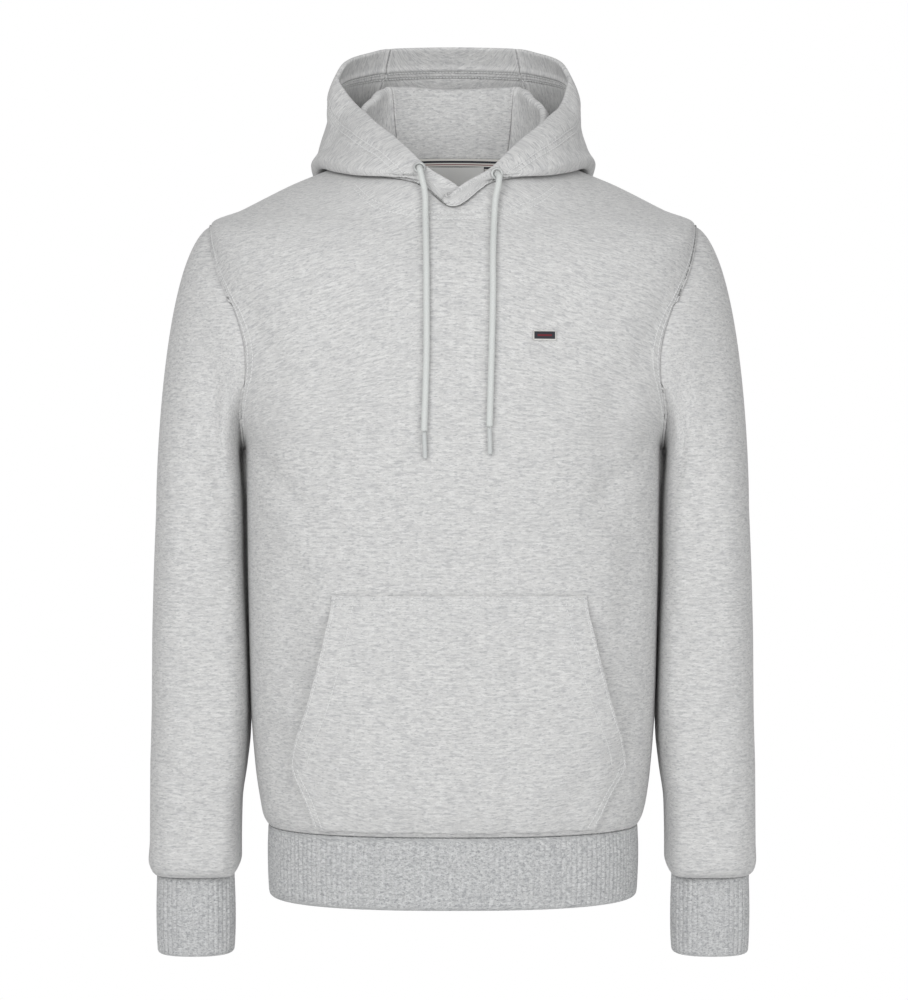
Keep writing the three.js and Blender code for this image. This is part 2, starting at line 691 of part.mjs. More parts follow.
// Joins the armhole edge to the upper arm with one cubic curve for each column.
function sleeveCapPoint(start, turn, s) {
  const share = (1 + Math.cos(turn)) / 2;
  const end = sleevePoint(SLEEVE_ROWS[0], turn);
  const rest = 1 - s;
  const leave = new THREE.Vector3(LEAVING.outX(share), 0, LEAVING.upZ(share));
  const arrive = new THREE.Vector3(0, 0, LEAVING.endZ(share));
  return new THREE.Vector3()
    .addScaledVector(start, (1 + 2 * s) * rest * rest)
    .addScaledVector(leave, s * rest * rest)
    .addScaledVector(end, s * s * (3 - 2 * s))
    .addScaledVector(arrive, -s * s * rest);
}

function sleeve(side, name) {
  const loop = armholeEdge();
  const count = loop.length;
  const start = (entry, i) => entry.point.clone().addScaledVector(intoArmhole(loop, i), ARMHOLE_GAP);
  const starts = loop.map(start);
  const turns = loop.map((entry, i) => (2 * Math.PI * i) / count);
  const grid = [starts];
  for (let k = 1; k < SLEEVE_CAP_STEPS; k += 1) {
    const s = (k / SLEEVE_CAP_STEPS) ** SLEEVE_CAP_CLOSENESS;
    grid.push(turns.map((turn, i) => sleeveCapPoint(starts[i], turn, s)));
  }
  for (const z of SLEEVE_ROWS) {
    grid.push(turns.map((turn) => sleevePoint(z, turn)));
  }
  const normals = gridNormals(grid, true);
  const outward = normals[grid.length - 4][0];
  if (outward.x < 0) {
    normals.forEach((row) => row.forEach((normal) => normal.negate()));
  }
  normals[0] = loop.map((entry) => entry.normal);
  const inner = offsetGrid(grid, normals, -BODY_WALL);
  const flip = (rows) => rows.map((row) => row.map((p) => new THREE.Vector3(side * p.x, p.y, p.z)));
  return wallMesh(name, FLEECE, flip(grid), flip(inner), true);
}

// Points of an oval section, spaced evenly along its edge, with outward normals.
function evenOval(row, count) {
  const fine = 1440;
  const at = (i) => {
    const turn = (2 * Math.PI * i) / fine;
    const radius = ovalRadius(turn, row.fullness);
    const x = row.halfWidth * radius * Math.cos(turn);
    return new THREE.Vector2(x, row.halfDepth * radius * Math.sin(turn));
  };
  const lengths = [0];
  for (let i = 1; i <= fine; i += 1) {
    lengths.push(lengths[i - 1] + at(i).distanceTo(at(i - 1)));
  }
  const result = [];
  let index = 0;
  for (let k = 0; k < count; k += 1) {
    const target = (lengths[fine] * k) / count;
    while (lengths[index + 1] < target) {
      index += 1;
    }
    const share = (target - lengths[index]) / (lengths[index + 1] - lengths[index]);
    const here = at(index).lerp(at(index + 1), share);
    const along = at(index + 1).sub(at(index)).normalize();
    result.push({ x: here.x, y: here.y, nx: along.y, ny: -along.x });
  }
  return { points: result, length: lengths[fine] };
}

// A ribbed band. The ribs are raised in the outer points only; the inside is plain.
function ribbedBand(name, rows, insideColumns, mirror) {
  const ribs = Math.round(evenOval(rows[0], 4).length / RIB_PITCH);
  const outerCount = ribs * 2;
  const points = [];
  const outerRings = [];
  const addPoint = (row, x, y) => {
    points.push(new THREE.Vector3(mirror * (row.centreX + x), row.centreY + y, row.z));
    return points.length - 1;
  };
  rows.forEach((row, r) => {
    const groove = r === rows.length - 1 ? RIB_HEIGHT * RIB_EDGE_SHARE : RIB_HEIGHT;
    outerRings.push(evenOval(row, outerCount).points.map((p, i) => {
      const depth = i % 2 === 0 ? 0 : groove;
      return addPoint(row, p.x - p.nx * depth, p.y - p.ny * depth);
    }));
  });
  const innerRings = [rows[0], rows[rows.length - 1]].map((row) => {
    const smaller = { ...row, halfWidth: row.halfWidth - RIB_WALL, halfDepth: row.halfDepth - RIB_WALL };
    return evenOval(smaller, insideColumns).points.map((p) => addPoint(row, p.x, p.y));
  });
  const faces = [];
  const joinEqual = (lower, upper, turned) => {
    const count = lower.length;
    for (let i = 0; i < count; i += 1) {
      const j = (i + 1) % count;
      if (turned) {
        faces.push([lower[i], upper[i], upper[j]], [lower[i], upper[j], lower[j]]);
      } else {
        faces.push([lower[i], lower[j], upper[j]], [lower[i], upper[j], upper[i]]);
      }
    }
  };
  for (let r = 0; r < outerRings.length - 1; r += 1) {
    joinEqual(outerRings[r], outerRings[r + 1], false);
  }
  joinEqual(innerRings[0], innerRings[1], true);
  // The end faces join a ring of many points to a ring of few.
  const joinUnequal = (many, few, turned) => {
    let m = 0;
    let f = 0;
    while (m < many.length || f < few.length) {
      const manyIsBehind = (m + 1) / many.length <= (f + 0.5) / few.length;
      if (f >= few.length || (m < many.length && manyIsBehind)) {
        const face = [many[m], few[f % few.length], many[(m + 1) % many.length]];
        faces.push(turned ? [face[0], face[2], face[1]] : face);
        m += 1;
      } else {
        const face = [few[f], few[(f + 1) % few.length], many[m % many.length]];
        faces.push(turned ? [face[0], face[2], face[1]] : face);
        f += 1;
      }
    }
  };
  joinUnequal(outerRings[0], innerRings[0], false);
  joinUnequal(outerRings[outerRings.length - 1], innerRings[1], true);
  return solidMesh(name, RIB_CLOTH, points, faces);
}

// A point of the neck seam and the direction out from it, in plan.
function neckPoint(turnDegrees) {
  const turn = (turnDegrees * Math.PI) / 180;
  const c = Math.cos(turn);
  const radius = ovalRadius(turn, NECK_FULLNESS);
  const face = c > 0 ? "back" : "front";
  const depth = c > 0 ? NECK.backDepth : NECK.frontDepth;
  const height = c > 0 ? NECK.backZ : NECK.frontZ;
  const point = new THREE.Vector3(
    NECK.halfWidth * radius * Math.sin(turn),
    NECK.centreY + depth * radius * c,
    height * neckDrop(face, Math.abs(c)),
  );
  const out = new THREE.Vector3(point.x, point.y - NECK.centreY, 0).normalize();
  return { point, out };
}

const HOOD_COLUMNS = HOOD_LEVELS.map((level) => ({
  out: smoothColumn(HOOD_SECTIONS, "turn", (row) => row[level][0], true),
  z: smoothColumn(HOOD_SECTIONS, "turn", (row) => row[level][1], true),
}));
const RIM_OUT = smoothColumn(HOOD_RIM, "turn", (row) => row.out, true);
const RIM_Z = smoothColumn(HOOD_RIM, "turn", (row) => row.z, true);
const SEAM_TURN = smoothColumn(HOOD_SEAM, "level", (row) => row.turn);

// The line of cloth at one turn: pairs of distance out and height, neck to face edge.
function hoodLine(turn) {
  const neck = neckPoint(turn);
  const line = [[0, neck.point.z + HOOD_LIFT]];
  for (const level of HOOD_COLUMNS) {
    line.push([level.out(turn), level.z(turn)]);
  }
  line.push([RIM_OUT(turn), RIM_Z(turn)]);
  return line;
}

// A smooth curve through the pairs, at a level that counts from 0 to the last pair. Its
// knots lie the square root of the distance apart, so it doesn't loop at close pairs.
function throughPairs(line, level) {
  const last = line.length - 1;
  const at = Math.min(Math.max(level, 0), last);
  const i = Math.min(Math.floor(at), last - 1);
  const gap = (k) => {
    const distance = Math.hypot(line[k + 1][0] - line[k][0], line[k + 1][1] - line[k][1]);
    return Math.sqrt(Math.max(distance, SMALLEST_GAP));
  };
  const slope = (k, axis) => (line[k + 1][axis] - line[k][axis]) / gap(k);
  const tangent = (k, axis) => {
    if (k === 0) {
      return slope(0, axis);
    }
    if (k === last) {
      return slope(last - 1, axis);
    }
    return (slope(k - 1, axis) * gap(k) + slope(k, axis) * gap(k - 1)) / (gap(k) + gap(k - 1));
  };
  const t = at - i;
  const rest = 1 - t;
  const width = gap(i);
  return [0, 1].map((axis) => line[i][axis] * (1 + 2 * t) * rest * rest
    + tangent(i, axis) * width * t * rest * rest
    + line[i + 1][axis] * t * t * (3 - 2 * t)
    - tangent(i + 1, axis) * width * t * t * rest);
}

// A point on the outside of the hood. A positive turn goes round the wearer's left.
function hoodPoint(turn, level) {
  const size = Math.abs(turn);
  const side = turn < 0 ? -1 : 1;
  const [out, z] = throughPairs(hoodLine(size), level);
  const neck = neckPoint(size);
  const crossing = smoothStep(CROSSOVER_START, CROSSOVER_FULL, size);
  const lift = side > 0 ? CROSSOVER_LIFT * crossing : -CROSSOVER_TUCK * crossing;
  const point = neck.point.clone().addScaledVector(neck.out, out + lift);
  point.z = z;
  point.x = point.x * side + HOOD_SLIDE.distance
    * smoothStep(HOOD_SLIDE.fromTurn, HOOD_SLIDE.toTurn, size)
    * smoothStep(HOOD_SLIDE.fromLevel, HOOD_SLIDE.toLevel, level);
  if (side > 0) {
    point.z -= CROSSOVER_SINK * crossing * (1 - smoothStep(0, 1, level));
  }
  const floor = bodyTop(point.x, point.y) + HOOD_LIFT + (HOOD_REST - HOOD_LIFT) * smoothStep(0, 1, level);
  point.z = Math.max(point.z, floor);
  return point;
}

function hoodNormal(turn, level) {
  const step = HOOD_NORMAL_STEP;
  const low = Math.max(level - step.level, 0);
  const high = Math.min(level + step.level, HOOD_LEVELS.length + 1);
  const round = hoodPoint(turn + step.turn, level).sub(hoodPoint(turn - step.turn, level));
  const up = hoodPoint(turn, high).sub(hoodPoint(turn, low));
  // Round towards the wearer's left, then up: the hood's outside is on the left hand.
  return up.cross(round).normalize();
}

function hoodPanel(name, turnAt, columns) {
  const outer = [];
  const inner = [];
  const top = HOOD_LEVELS.length + 1;
  for (let r = 0; r <= top * HOOD_ROWS_A_LEVEL; r += 1) {
    const level = r / HOOD_ROWS_A_LEVEL;
    const outerRow = [];
    const innerRow = [];
    for (let c = 0; c <= columns; c += 1) {
      const turn = turnAt(level, c / columns);
      const point = hoodPoint(turn, level);
      outerRow.push(point);
      innerRow.push(point.clone().addScaledVector(hoodNormal(turn, level), -HOOD_WALL));
    }
    outer.push(outerRow);
    inner.push(innerRow);
  }
  return wallMesh(name, FLEECE, outer, inner);
}

function hoodSide(name, side) {
  const sideShare = 1 - HOOD_FRONT_COLUMNS / HOOD_SIDE_COLUMNS;
  return hoodPanel(name, (level, share) => {
    const from = SEAM_TURN(level) + HOOD_SEAM_HALF_GAP;
    if (share < sideShare) {
      return side * (from + ((HOOD_FRONT_TURN - from) * share) / sideShare);
    }
    const past = (share - sideShare) / (1 - sideShare);
    return side * (HOOD_FRONT_TURN + (HOOD_END_TURN - HOOD_FRONT_TURN) * past);
  }, HOOD_SIDE_COLUMNS);
}

function hoodMiddle(name) {
  return hoodPanel(name, (level, share) => {
    const to = SEAM_TURN(level) - HOOD_SEAM_HALF_GAP;
    return to * (2 * share - 1);
  }, HOOD_MIDDLE_COLUMNS);
}

// The pocket is made from the front panel's points moved out.
function pocket(name) {
  const width = smoothColumn([...POCKET_EDGE].reverse(), "z", (row) => row.halfWidth);
  const open = smoothColumn([...POCKET_EDGE].reverse(), "z", (row) => row.open);
  const top = POCKET_ROWS[0];
  const bottom = POCKET_ROWS[POCKET_ROWS.length - 1];
  const outer = [];
  const inner = [];
  for (const z of POCKET_ROWS) {
    const outerRow = [];
    const innerRow = [];
    const nearEdge = smoothStep(top, top - POCKET_RISE_LENGTH.top, z)
      * smoothStep(bottom, bottom + POCKET_RISE_LENGTH.bottom, z);
    for (let c = 0; c <= POCKET_COLUMNS; c += 1) {
      const share = (2 * c) / POCKET_COLUMNS - 1;
      const x = width(z) * share;
      const side = Math.abs(share);
      const gape = POCKET_GAPE * open(z) * smoothStep(POCKET_GAPE_FROM, 1, side);
      const rise = (POCKET_MIDDLE_OFFSET - POCKET_SEWN_OFFSET) * nearEdge;
      const offset = POCKET_SEWN_OFFSET + rise * (1 - smoothStep(POCKET_RISE_UNTIL, 1, side)) + gape;
      outerRow.push(frontOffset(x, z, offset));
      innerRow.push(frontOffset(x, z, offset - POCKET_WALL));
    }
    outer.push(outerRow);
    inner.push(innerRow);
  }
  return wallMesh(name, FLEECE, outer, inner);
}

// The hood surface at a given x and height, on the band below the face edge.
function bandPlace(x, z) {
  const side = x < 0 ? -1 : 1;
  const search = BAND_SEARCH;
  let best = null;
  for (let turn = search.turnFrom; turn <= search.turnTo; turn += search.turnStep) {
    for (let level = search.levelFrom; level <= search.levelTo; level += search.levelStep) {
      const point = hoodPoint(side * turn, level);
      const miss = (point.x - x) ** 2 + (point.z - z) ** 2;
      if (!best || miss < best.miss) {
        best = { miss, point, normal: hoodNormal(side * turn, level) };
      }
    }
  }
  return best;
}

function eyelet(name, place) {
  const { outerRadius, holeRadius, thickness, edge, shoulder } = EYELET;
  const profile = [
    new THREE.Vector2(holeRadius, 0),
    new THREE.Vector2(outerRadius, 0),
    new THREE.Vector2(outerRadius - edge, thickness * shoulder),
    new THREE.Vector2((outerRadius + holeRadius) / 2, thickness),
    new THREE.Vector2(holeRadius + edge, thickness * shoulder),
    new THREE.Vector2(holeRadius, 0),
  ];
  const geometry = new THREE.LatheGeometry(profile, EYELET.sides);
  const turn = new THREE.Quaternion().setFromUnitVectors(new THREE.Vector3(0, 1, 0), place.normal);
  geometry.applyQuaternion(turn);
  const at = place.point.clone().addScaledVector(place.normal, EYELET.seat);
  geometry.translate(at.x, at.y, at.z);
  const mesh = new THREE.Mesh(geometry, EYELET_METAL);
  mesh.name = name;
  return mesh;
}

// A round bar along a path, closed at both ends.
function roundBar(name, material, path, radii, sides) {
  const points = [];
  const faces = [];
  const rings = [];
  let normal = new THREE.Vector3(1, 0, 0);
  path.forEach((centre, k) => {
    const before = path[Math.max(k - 1, 0)];
    const after = path[Math.min(k + 1, path.length - 1)];
    const along = after.clone().sub(before).normalize();
    normal = normal.clone().addScaledVector(along, -normal.dot(along)).normalize();
    const across = new THREE.Vector3().crossVectors(along, normal);
    const radius = radii[k];
    const ring = [];
    for (let i = 0; i < sides; i += 1) {
      const turn = (2 * Math.PI * i) / sides;
      ring.push(points.length);
      points.push(centre.clone()
        .addScaledVector(normal, radius * Math.cos(turn))
        .addScaledVector(across, radius * Math.sin(turn)));
    }
    rings.push(ring);
  });
  for (let k = 0; k < rings.length - 1; k += 1) {
    for (let i = 0; i < sides; i += 1) {
      const j = (i + 1) % sides;
      faces.push([rings[k][i], rings[k][j], rings[k + 1][j]]);
      faces.push([rings[k][i], rings[k + 1][j], rings[k + 1][i]]);
    }
  }
  const start = points.length;
  points.push(path[0].clone());
  const end = points.length;
  points.push(path[path.length - 1].clone());
  for (let i = 0; i < sides; i += 1) {
    const j = (i + 1) % sides;
    faces.push([rings[0][j], rings[0][i], start]);
    faces.push([rings[rings.length - 1][i], rings[rings.length - 1][j], end]);
  }
  return solidMesh(name, material, points, faces);
}

// One free end of the drawstring: out of the eyelet, over the band and down the chest.
function cordPath(end) {
  const place = bandPlace(...end.eyelet);
  const points = CORD_LEAVING.map(({ out, down }) => {
    const point = place.point.clone().addScaledVector(place.normal, out);
    point.z -= down;
    return point;
  });
  end.path.forEach(([x, z], i) => {
    points.push(frontOffset(x, z, CORD_RADIUS + (i === 0 ? CORD_FIRST_SPACE : CORD_SPACE)));
  });
  return new THREE.CatmullRomCurve3(points, false, "centripetal");
}

function circleShape(radius, sides) {
  const points = [];
  for (let i = 0; i < sides; i += 1) {
    const turn = (2 * Math.PI * i) / sides;
    points.push(new THREE.Vector2(radius * Math.cos(turn), radius * Math.sin(turn)));
  }
  return new THREE.Shape(points);
}

function cordEnd(side) {
  const end = CORD_ENDS[side];
  const path = cordPath(end);
  const geometry = new THREE.ExtrudeGeometry(circleShape(CORD_RADIUS, CORD_SIDES), {
    steps: CORD_STEPS, bevelEnabled: false, extrudePath: path,
  });
  const cord = new THREE.Mesh(geometry, CORD_CLOTH);
  cord.name = `cord_${side}`;
  const last = path.getPoint(1);
  const tipEnd = frontOffset(...end.tipEnd, CORD_TIP_RADIUS + CORD_TIP_SPACE.fromCloth);
  const along = tipEnd.sub(last).normalize();
  const tipPoint = (share) => {
    const distance = CORD_TIP_SPACE.along + CORD_TIP_LENGTH * share;
    return last.clone().addScaledVector(along, distance);
  };
  const tipPath = [0, CORD_TIP_EDGE, 1 - CORD_TIP_EDGE, 1].map(tipPoint);
  const tipRadii = [CORD_TIP_EDGE_RADIUS, CORD_TIP_RADIUS, CORD_TIP_RADIUS, CORD_TIP_EDGE_RADIUS];
  const tip = roundBar(`cord_${side}_tip`, CORD_CLOTH, tipPath, tipRadii, CORD_TIP_SIDES);
  return [cord, tip];
}

// A strip sewn inside the back of the neck, over the seam.
function neckTape(name) {
  const outer = [];
  const inner = [];
  for (const rise of TAPE.rises) {
    const outerRow = [];
    const innerRow = [];
    for (let c = 0; c <= TAPE.columns; c += 1) {
      const turn = TAPE.halfTurn * ((2 * c) / TAPE.columns - 1);
      const { point, out } = neckPoint(turn);
      const z = point.z + TAPE.top - TAPE.width * (1 - rise);
      const shrink = TAPE.offset + TAPE.lean * (1 - rise);
      outerRow.push(point.clone().addScaledVector(out, -shrink).setZ(z));
      innerRow.push(point.clone().addScaledVector(out, -shrink - TRIM_WALL).setZ(z));
    }
    outer.push(outerRow);
    inner.push(innerRow);
  }
  return wallMesh(name, TAPE_CLOTH, outer, inner);
}

// A blank woven label that hangs from the tape, a little bowed.
function neckLabel(name) {
  const outer = [];
  const inner = [];
  for (let r = 0; r <= LABEL.steps; r += 1) {
    const drop = r / LABEL.steps;
    const z = LABEL.top - LABEL.height * drop;
    const outerRow = [];
    const innerRow = [];
    for (let c = 0; c <= LABEL.steps; c += 1) {
      const share = (2 * c) / LABEL.steps - 1;
      const x = (LABEL.width / 2) * share;
      const y = LABEL.y - LABEL.bow * share * share + LABEL.wave * Math.sin(Math.PI * drop);
      outerRow.push(new THREE.Vector3(x, y, z));
      innerRow.push(new THREE.Vector3(x, y - TRIM_WALL, z));
    }
    outer.push(outerRow);
    inner.push(innerRow);
  }
  return wallMesh(name, TAPE_CLOTH, outer, inner);
}

// A small woven badge sewn to the wearer's left chest.
function chestBadge(name) {
  const outer = [];
  const inner = [];
  for (let r = 0; r <= BADGE.rows; r += 1) {
    const z = BADGE.z + BADGE.height * (r / BADGE.rows - 0.5);
    const outerRow = [];
    const innerRow = [];
    for (let c = 0; c <= BADGE.columns; c += 1) {
      const x = BADGE.x + BADGE.width * (c / BADGE.columns - 0.5);
      outerRow.push(frontOffset(x, z, BADGE.offset));
      innerRow.push(frontOffset(x, z, BADGE.offset - TRIM_WALL));
    }
    outer.push(outerRow);
    inner.push(innerRow);
  }
  return wallMesh(name, BADGE_CLOTH, outer, inner);
}

const group = new THREE.Group();
group.name = "pullover_hoodie";
group.add(bodyPanel("front"));
group.add(bodyPanel("back"));
group.add(sleeve(1, "sleeve_left"));
group.add(sleeve(-1, "sleeve_right"));
group.add(ribbedBand("cuff_left", CUFF, CUFF_INSIDE_COLUMNS, 1));
group.add(ribbedBand("cuff_right", CUFF, CUFF_INSIDE_COLUMNS, -1));
group.add(ribbedBand("hem_rib", HEM_RIB, HEM_INSIDE_COLUMNS, 1));
group.add(hoodMiddle("hood_centre"));
group.add(hoodSide("hood_left", 1));
group.add(hoodSide("hood_right", -1));
group.add(pocket("pocket"));
for (const side of ["left", "right"]) {
  group.add(eyelet(`eyelet_${side}`, bandPlace(...CORD_ENDS[side].eyelet)));
  cordEnd(side).forEach((mesh) => group.add(mesh));
}
group.add(neckTape("neck_tape"));
group.add(neckLabel("neck_label"));
group.add(chestBadge("chest_badge"));

export default group;
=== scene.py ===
# %% [markdown]
# # A pullover hoodie
#
# The garment is filled out as if someone wore it, with the hood folded down behind the
# neck. Every piece of cloth below is a surface worked out from a few sections, given a
# real thickness, and set exactly where the frame's own solid of that name lies.

# %% Load the frame
import math
import bpy
import numpy as np
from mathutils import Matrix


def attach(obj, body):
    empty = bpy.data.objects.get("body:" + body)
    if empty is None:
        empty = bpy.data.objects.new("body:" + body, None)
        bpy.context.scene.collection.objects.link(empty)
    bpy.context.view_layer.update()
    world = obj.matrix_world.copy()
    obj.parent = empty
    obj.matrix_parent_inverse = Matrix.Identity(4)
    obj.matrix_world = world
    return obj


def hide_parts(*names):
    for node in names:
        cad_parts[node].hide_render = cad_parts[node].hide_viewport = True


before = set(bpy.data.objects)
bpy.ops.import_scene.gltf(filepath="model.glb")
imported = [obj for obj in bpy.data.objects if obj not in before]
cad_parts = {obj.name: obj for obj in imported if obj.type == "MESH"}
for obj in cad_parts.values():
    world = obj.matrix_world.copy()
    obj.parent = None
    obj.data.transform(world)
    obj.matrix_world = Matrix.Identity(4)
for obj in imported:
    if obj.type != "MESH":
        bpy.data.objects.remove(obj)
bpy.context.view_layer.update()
print("frame loaded:", len(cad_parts), "nodes")

# %% [markdown]
# ## Camera
#
# The picture was taken level with the middle of the garment. In the plane of the side
# seams one pixel of the picture is 0.95 mm, and the way the hem curves puts the camera
# about 2.3 m away, so the lens follows from those two numbers.

# %% Camera
MM = 0.001
PHOTO_HEIGHT_PX = 1000
MM_PER_PIXEL = 0.95
CAMERA_DISTANCE = 2.3
CAMERA_HEIGHT = -0.323
CAMERA_SIDE = 0.001
SENSOR_MM = 36

camera_data = bpy.data.cameras.new("camera")
camera_data.sensor_width = SENSOR_MM
camera_data.lens = SENSOR_MM * CAMERA_DISTANCE / (PHOTO_HEIGHT_PX * MM_PER_PIXEL * MM)
camera_data.clip_end = 30
camera = bpy.data.objects.new("camera", camera_data)
camera.location = (CAMERA_SIDE, -CAMERA_DISTANCE, CAMERA_HEIGHT)
camera.rotation_euler = (math.radians(90), 0, 0)
bpy.context.scene.collection.objects.link(camera)
bpy.context.scene.camera = camera
print("lens", round(camera_data.lens, 2), "mm")

# %% [markdown]
# ## Curves through tables
#
# A garment's pattern is a short table of measurements. A monotone cubic curve through
# each column gives a smooth shape that never bulges past the numbers in the table.

# %% Curves through tables


def smooth_column(xs, ys, flat_start=False):
    """A monotone cubic through (xs, ys): each inner tangent is the weighted harmonic
    mean of the slopes on both sides, or zero where they change sign."""
    xs = np.asarray(xs, float)
    ys = np.asarray(ys, float)
    width = np.diff(xs)
    slope = np.diff(ys) / width
    tangent = np.zeros(len(xs))
    tangent[0] = 0.0 if flat_start else slope[0]
    tangent[-1] = slope[-1]
    before, after = slope[:-1], slope[1:]
    weight_before = 2 * width[1:] + width[:-1]
    weight_after = width[1:] + 2 * width[:-1]
    same_sign = before * after > 0
    safe_before = np.where(same_sign, before, 1.0)
    safe_after = np.where(same_sign, after, 1.0)
    mean = (weight_before + weight_after) / (weight_before / safe_before + weight_after / safe_after)
    tangent[1:-1] = np.where(same_sign, mean, 0.0)

    def value(x):
        x = np.clip(np.asarray(x, float), xs[0], xs[-1])
        i = np.clip(np.searchsorted(xs, x, side="right") - 1, 0, len(xs) - 2)
        t = (x - xs[i]) / width[i]
        rest = 1 - t
        return (ys[i] * (1 + 2 * t) * rest * rest + tangent[i] * width[i] * t * rest * rest
                + ys[i + 1] * t * t * (3 - 2 * t) - tangent[i + 1] * width[i] * t * t * rest)

    return value


def smooth_step(low, high, x):
    """0 before low, 1 after high, and t * t * (3 - 2 t) between them."""
    t = np.clip((np.asarray(x, float) - low) / (high - low), 0, 1)
    return t * t * (3 - 2 * t)


def oval_radius(turn, fullness):
    """Radius of a rounded oval of unit half axes: (|cos|^n + |sin|^n)^(-1/n)."""
    return (np.abs(np.cos(turn)) ** fullness + np.abs(np.sin(turn)) ** fullness) ** (-1 / fullness)


def unit(vectors):
    """Vectors divided by their own lengths."""
    return vectors / np.maximum(np.linalg.norm(vectors, axis=-1, keepdims=True), 1e-12)


# %% [markdown]
# ## The body as a surface
#
# The front and back panels are sewn to each other up the sides and along the shoulders.
# `up` follows that seam line from the hem, up the side, and along the shoulder to the
# neck. At each `up` the cloth makes half an oval from one seam to the other, so a point
# on a panel needs only two numbers: how far up, and how far round.

# %% The body as a surface
BODY_NAMES = ("up", "side_x", "side_y", "side_z", "front_y", "front_z", "back_y", "back_z", "fullness")
BODY_SECTIONS = (
    (0, 175, 0, -628, -118, -628, 118, -628, 2.5),
    (11, 179.5, 0, -617, -124, -617, 123, -617, 2.5),
    (28, 183, 0, -600, -128, -600, 126, -600, 2.5),
    (54, 186.5, 0, -574, -130.5, -574, 126, -574, 2.5),
    (115, 191, 0, -513, -131, -513, 123, -513, 2.5),
    (228, 193.5, 0, -400, -130, -400, 120, -400, 2.6),
    (353, 196, 0, -275, -134, -275, 131, -275, 2.6),
    (393, 211, 0, -235, -134, -238, 133, -236, 2.6),
    (453, 222, 0, -175, -131.5, -186, 137, -178, 2.6),
    (491, 226, 0, -138, -128.5, -157, 137, -142, 2.6),
    (528, 228.5, 2, -100, -124.5, -133, 133, -107, 2.6),
    (567, 229, 5, -61, -119.5, -112, 126, -75, 2.6),
    (600, 200, 5, -47, -113, -97, 116, -50, 2.5),
    (650, 155, 6, -24, -102, -77, 94, -22, 2.4),
    (690, 117, 7, -7, -90.5, -61, 70, -5, 2.3),
    (707, 103, 8, 0, -85, -54, 62, 8, 2.2),
)
UNDERARM_UP = 353
SHOULDER_UP = 567
NECK_UP = 707
NECK_BLEND_UP = 650
SHOULDER_ROUNDING = 95
ARMHOLE_REACH = {"front": 84, "back": 88}
BODY_WALL = 1.8
SEAM_GAP = 0.3

body_table = np.array(BODY_SECTIONS, float)
body_columns = {
    name: smooth_column(body_table[:, 0], body_table[:, i]) for i, name in enumerate(BODY_NAMES) if i
}


def rounded_column(name, up, turn):
    """A column averaged over a length of seam that grows as sin(turn)^2, which rounds
    off the corner at the shoulder point away from the seam."""
    reach = (SHOULDER_ROUNDING * np.sin(turn) ** 2
             * smooth_step(UNDERARM_UP, UNDERARM_UP + 100, up)
             * (1 - smooth_step(NECK_UP - 90, NECK_UP, up)))
    return sum(body_columns[name](up + reach * share) for share in (-1, -0.6, -0.2, 0.2, 0.6, 1)) / 6


def neck_drop(behind, across):
    """Share of the neck's drop at a share of the way to its middle: across^1.4 behind,
    and 0.58 across + 0.42 across^40 in front, where the two ends of the hood cross."""
    return np.where(behind, across ** 1.4, 0.58 * across + 0.42 * across ** 40)


def body_point(face, up, turn):
    """x = X r cos, y = Y0 + (Y1 - Y0) r sin, z = Z0 + (Z1 - Z0) sin^1.5, in millimetres,
    where r is the oval's radius and turn runs from the wearer's left to the right. Near
    the neck the drop in height goes over to the neck's own."""
    up, turn = np.broadcast_arrays(np.asarray(up, float), np.asarray(turn, float))
    radius = oval_radius(turn, body_columns["fullness"](up))
    across = np.abs(np.sin(turn))
    side_y = body_columns["side_y"](up)
    side_z = rounded_column("side_z", up, turn)
    drop = across ** 1.5
    drop = drop + (neck_drop(face == "back", across) - drop) * smooth_step(NECK_BLEND_UP, NECK_UP, up)
    x = rounded_column("side_x", up, turn) * radius * np.cos(turn)
    y = side_y + (body_columns[face + "_y"](up) - side_y) * radius * across
    z = side_z + (body_columns[face + "_z"](up) - side_z) * drop
    return np.stack([x, y, z], axis=-1)


def armhole_turn(face, up):
    """The turn at which the armhole edge crosses a section; its reach in from the side
    is R * (sin(pi q^0.8))^0.55, with q the share of the armhole's height."""
    q = np.clip((up - UNDERARM_UP) / (SHOULDER_UP - UNDERARM_UP), 0, 1)
    reach = ARMHOLE_REACH[face] * np.maximum(np.sin(np.pi * q ** 0.8), 0) ** 0.55
    fullness = body_columns["fullness"](up)
    deep = reach / np.abs(body_columns[face + "_y"](up) - body_columns["side_y"](up))
    wide = np.maximum(1 - deep ** fullness, 0) ** (1 / fullness)
    return np.arctan2(deep, wide)


print("body is", body_table[-1, 3] - body_table[0, 3], "mm from shoulder to hem seam")

# %% [markdown]
# ## From a grid of points to cloth
#
# A piece of cloth is a grid of points for its outside and a second grid for its inside,
# moved in by the cloth's thickness. Close to each cut or folded edge the two grids come
# together, as a turned edge does, and a narrow strip closes the wall.

# %% Grids into meshes
SOFT_EDGE = (0.0, 0.1, 0.3, 0.65, 1.1)


def soft_shares(count, length, reach=1.0):
    """Shares from 0 to 1 with extra ones near both ends, at SOFT_EDGE times reach."""
    near = np.array(SOFT_EDGE) * reach / length
    return np.concatenate([near, np.linspace(0, 1, count + 1)[1:-1], 1 - near[::-1]])


def grid_normals(grid, wrap=False):
    """Unit cross product of the differences along the grid's two directions."""
    down = np.gradient(grid, axis=0)
    if wrap:
        across = np.roll(grid, -1, axis=1) - np.roll(grid, 1, axis=1)
    else:
        across = np.gradient(grid, axis=1)
    return unit(np.cross(across, down))


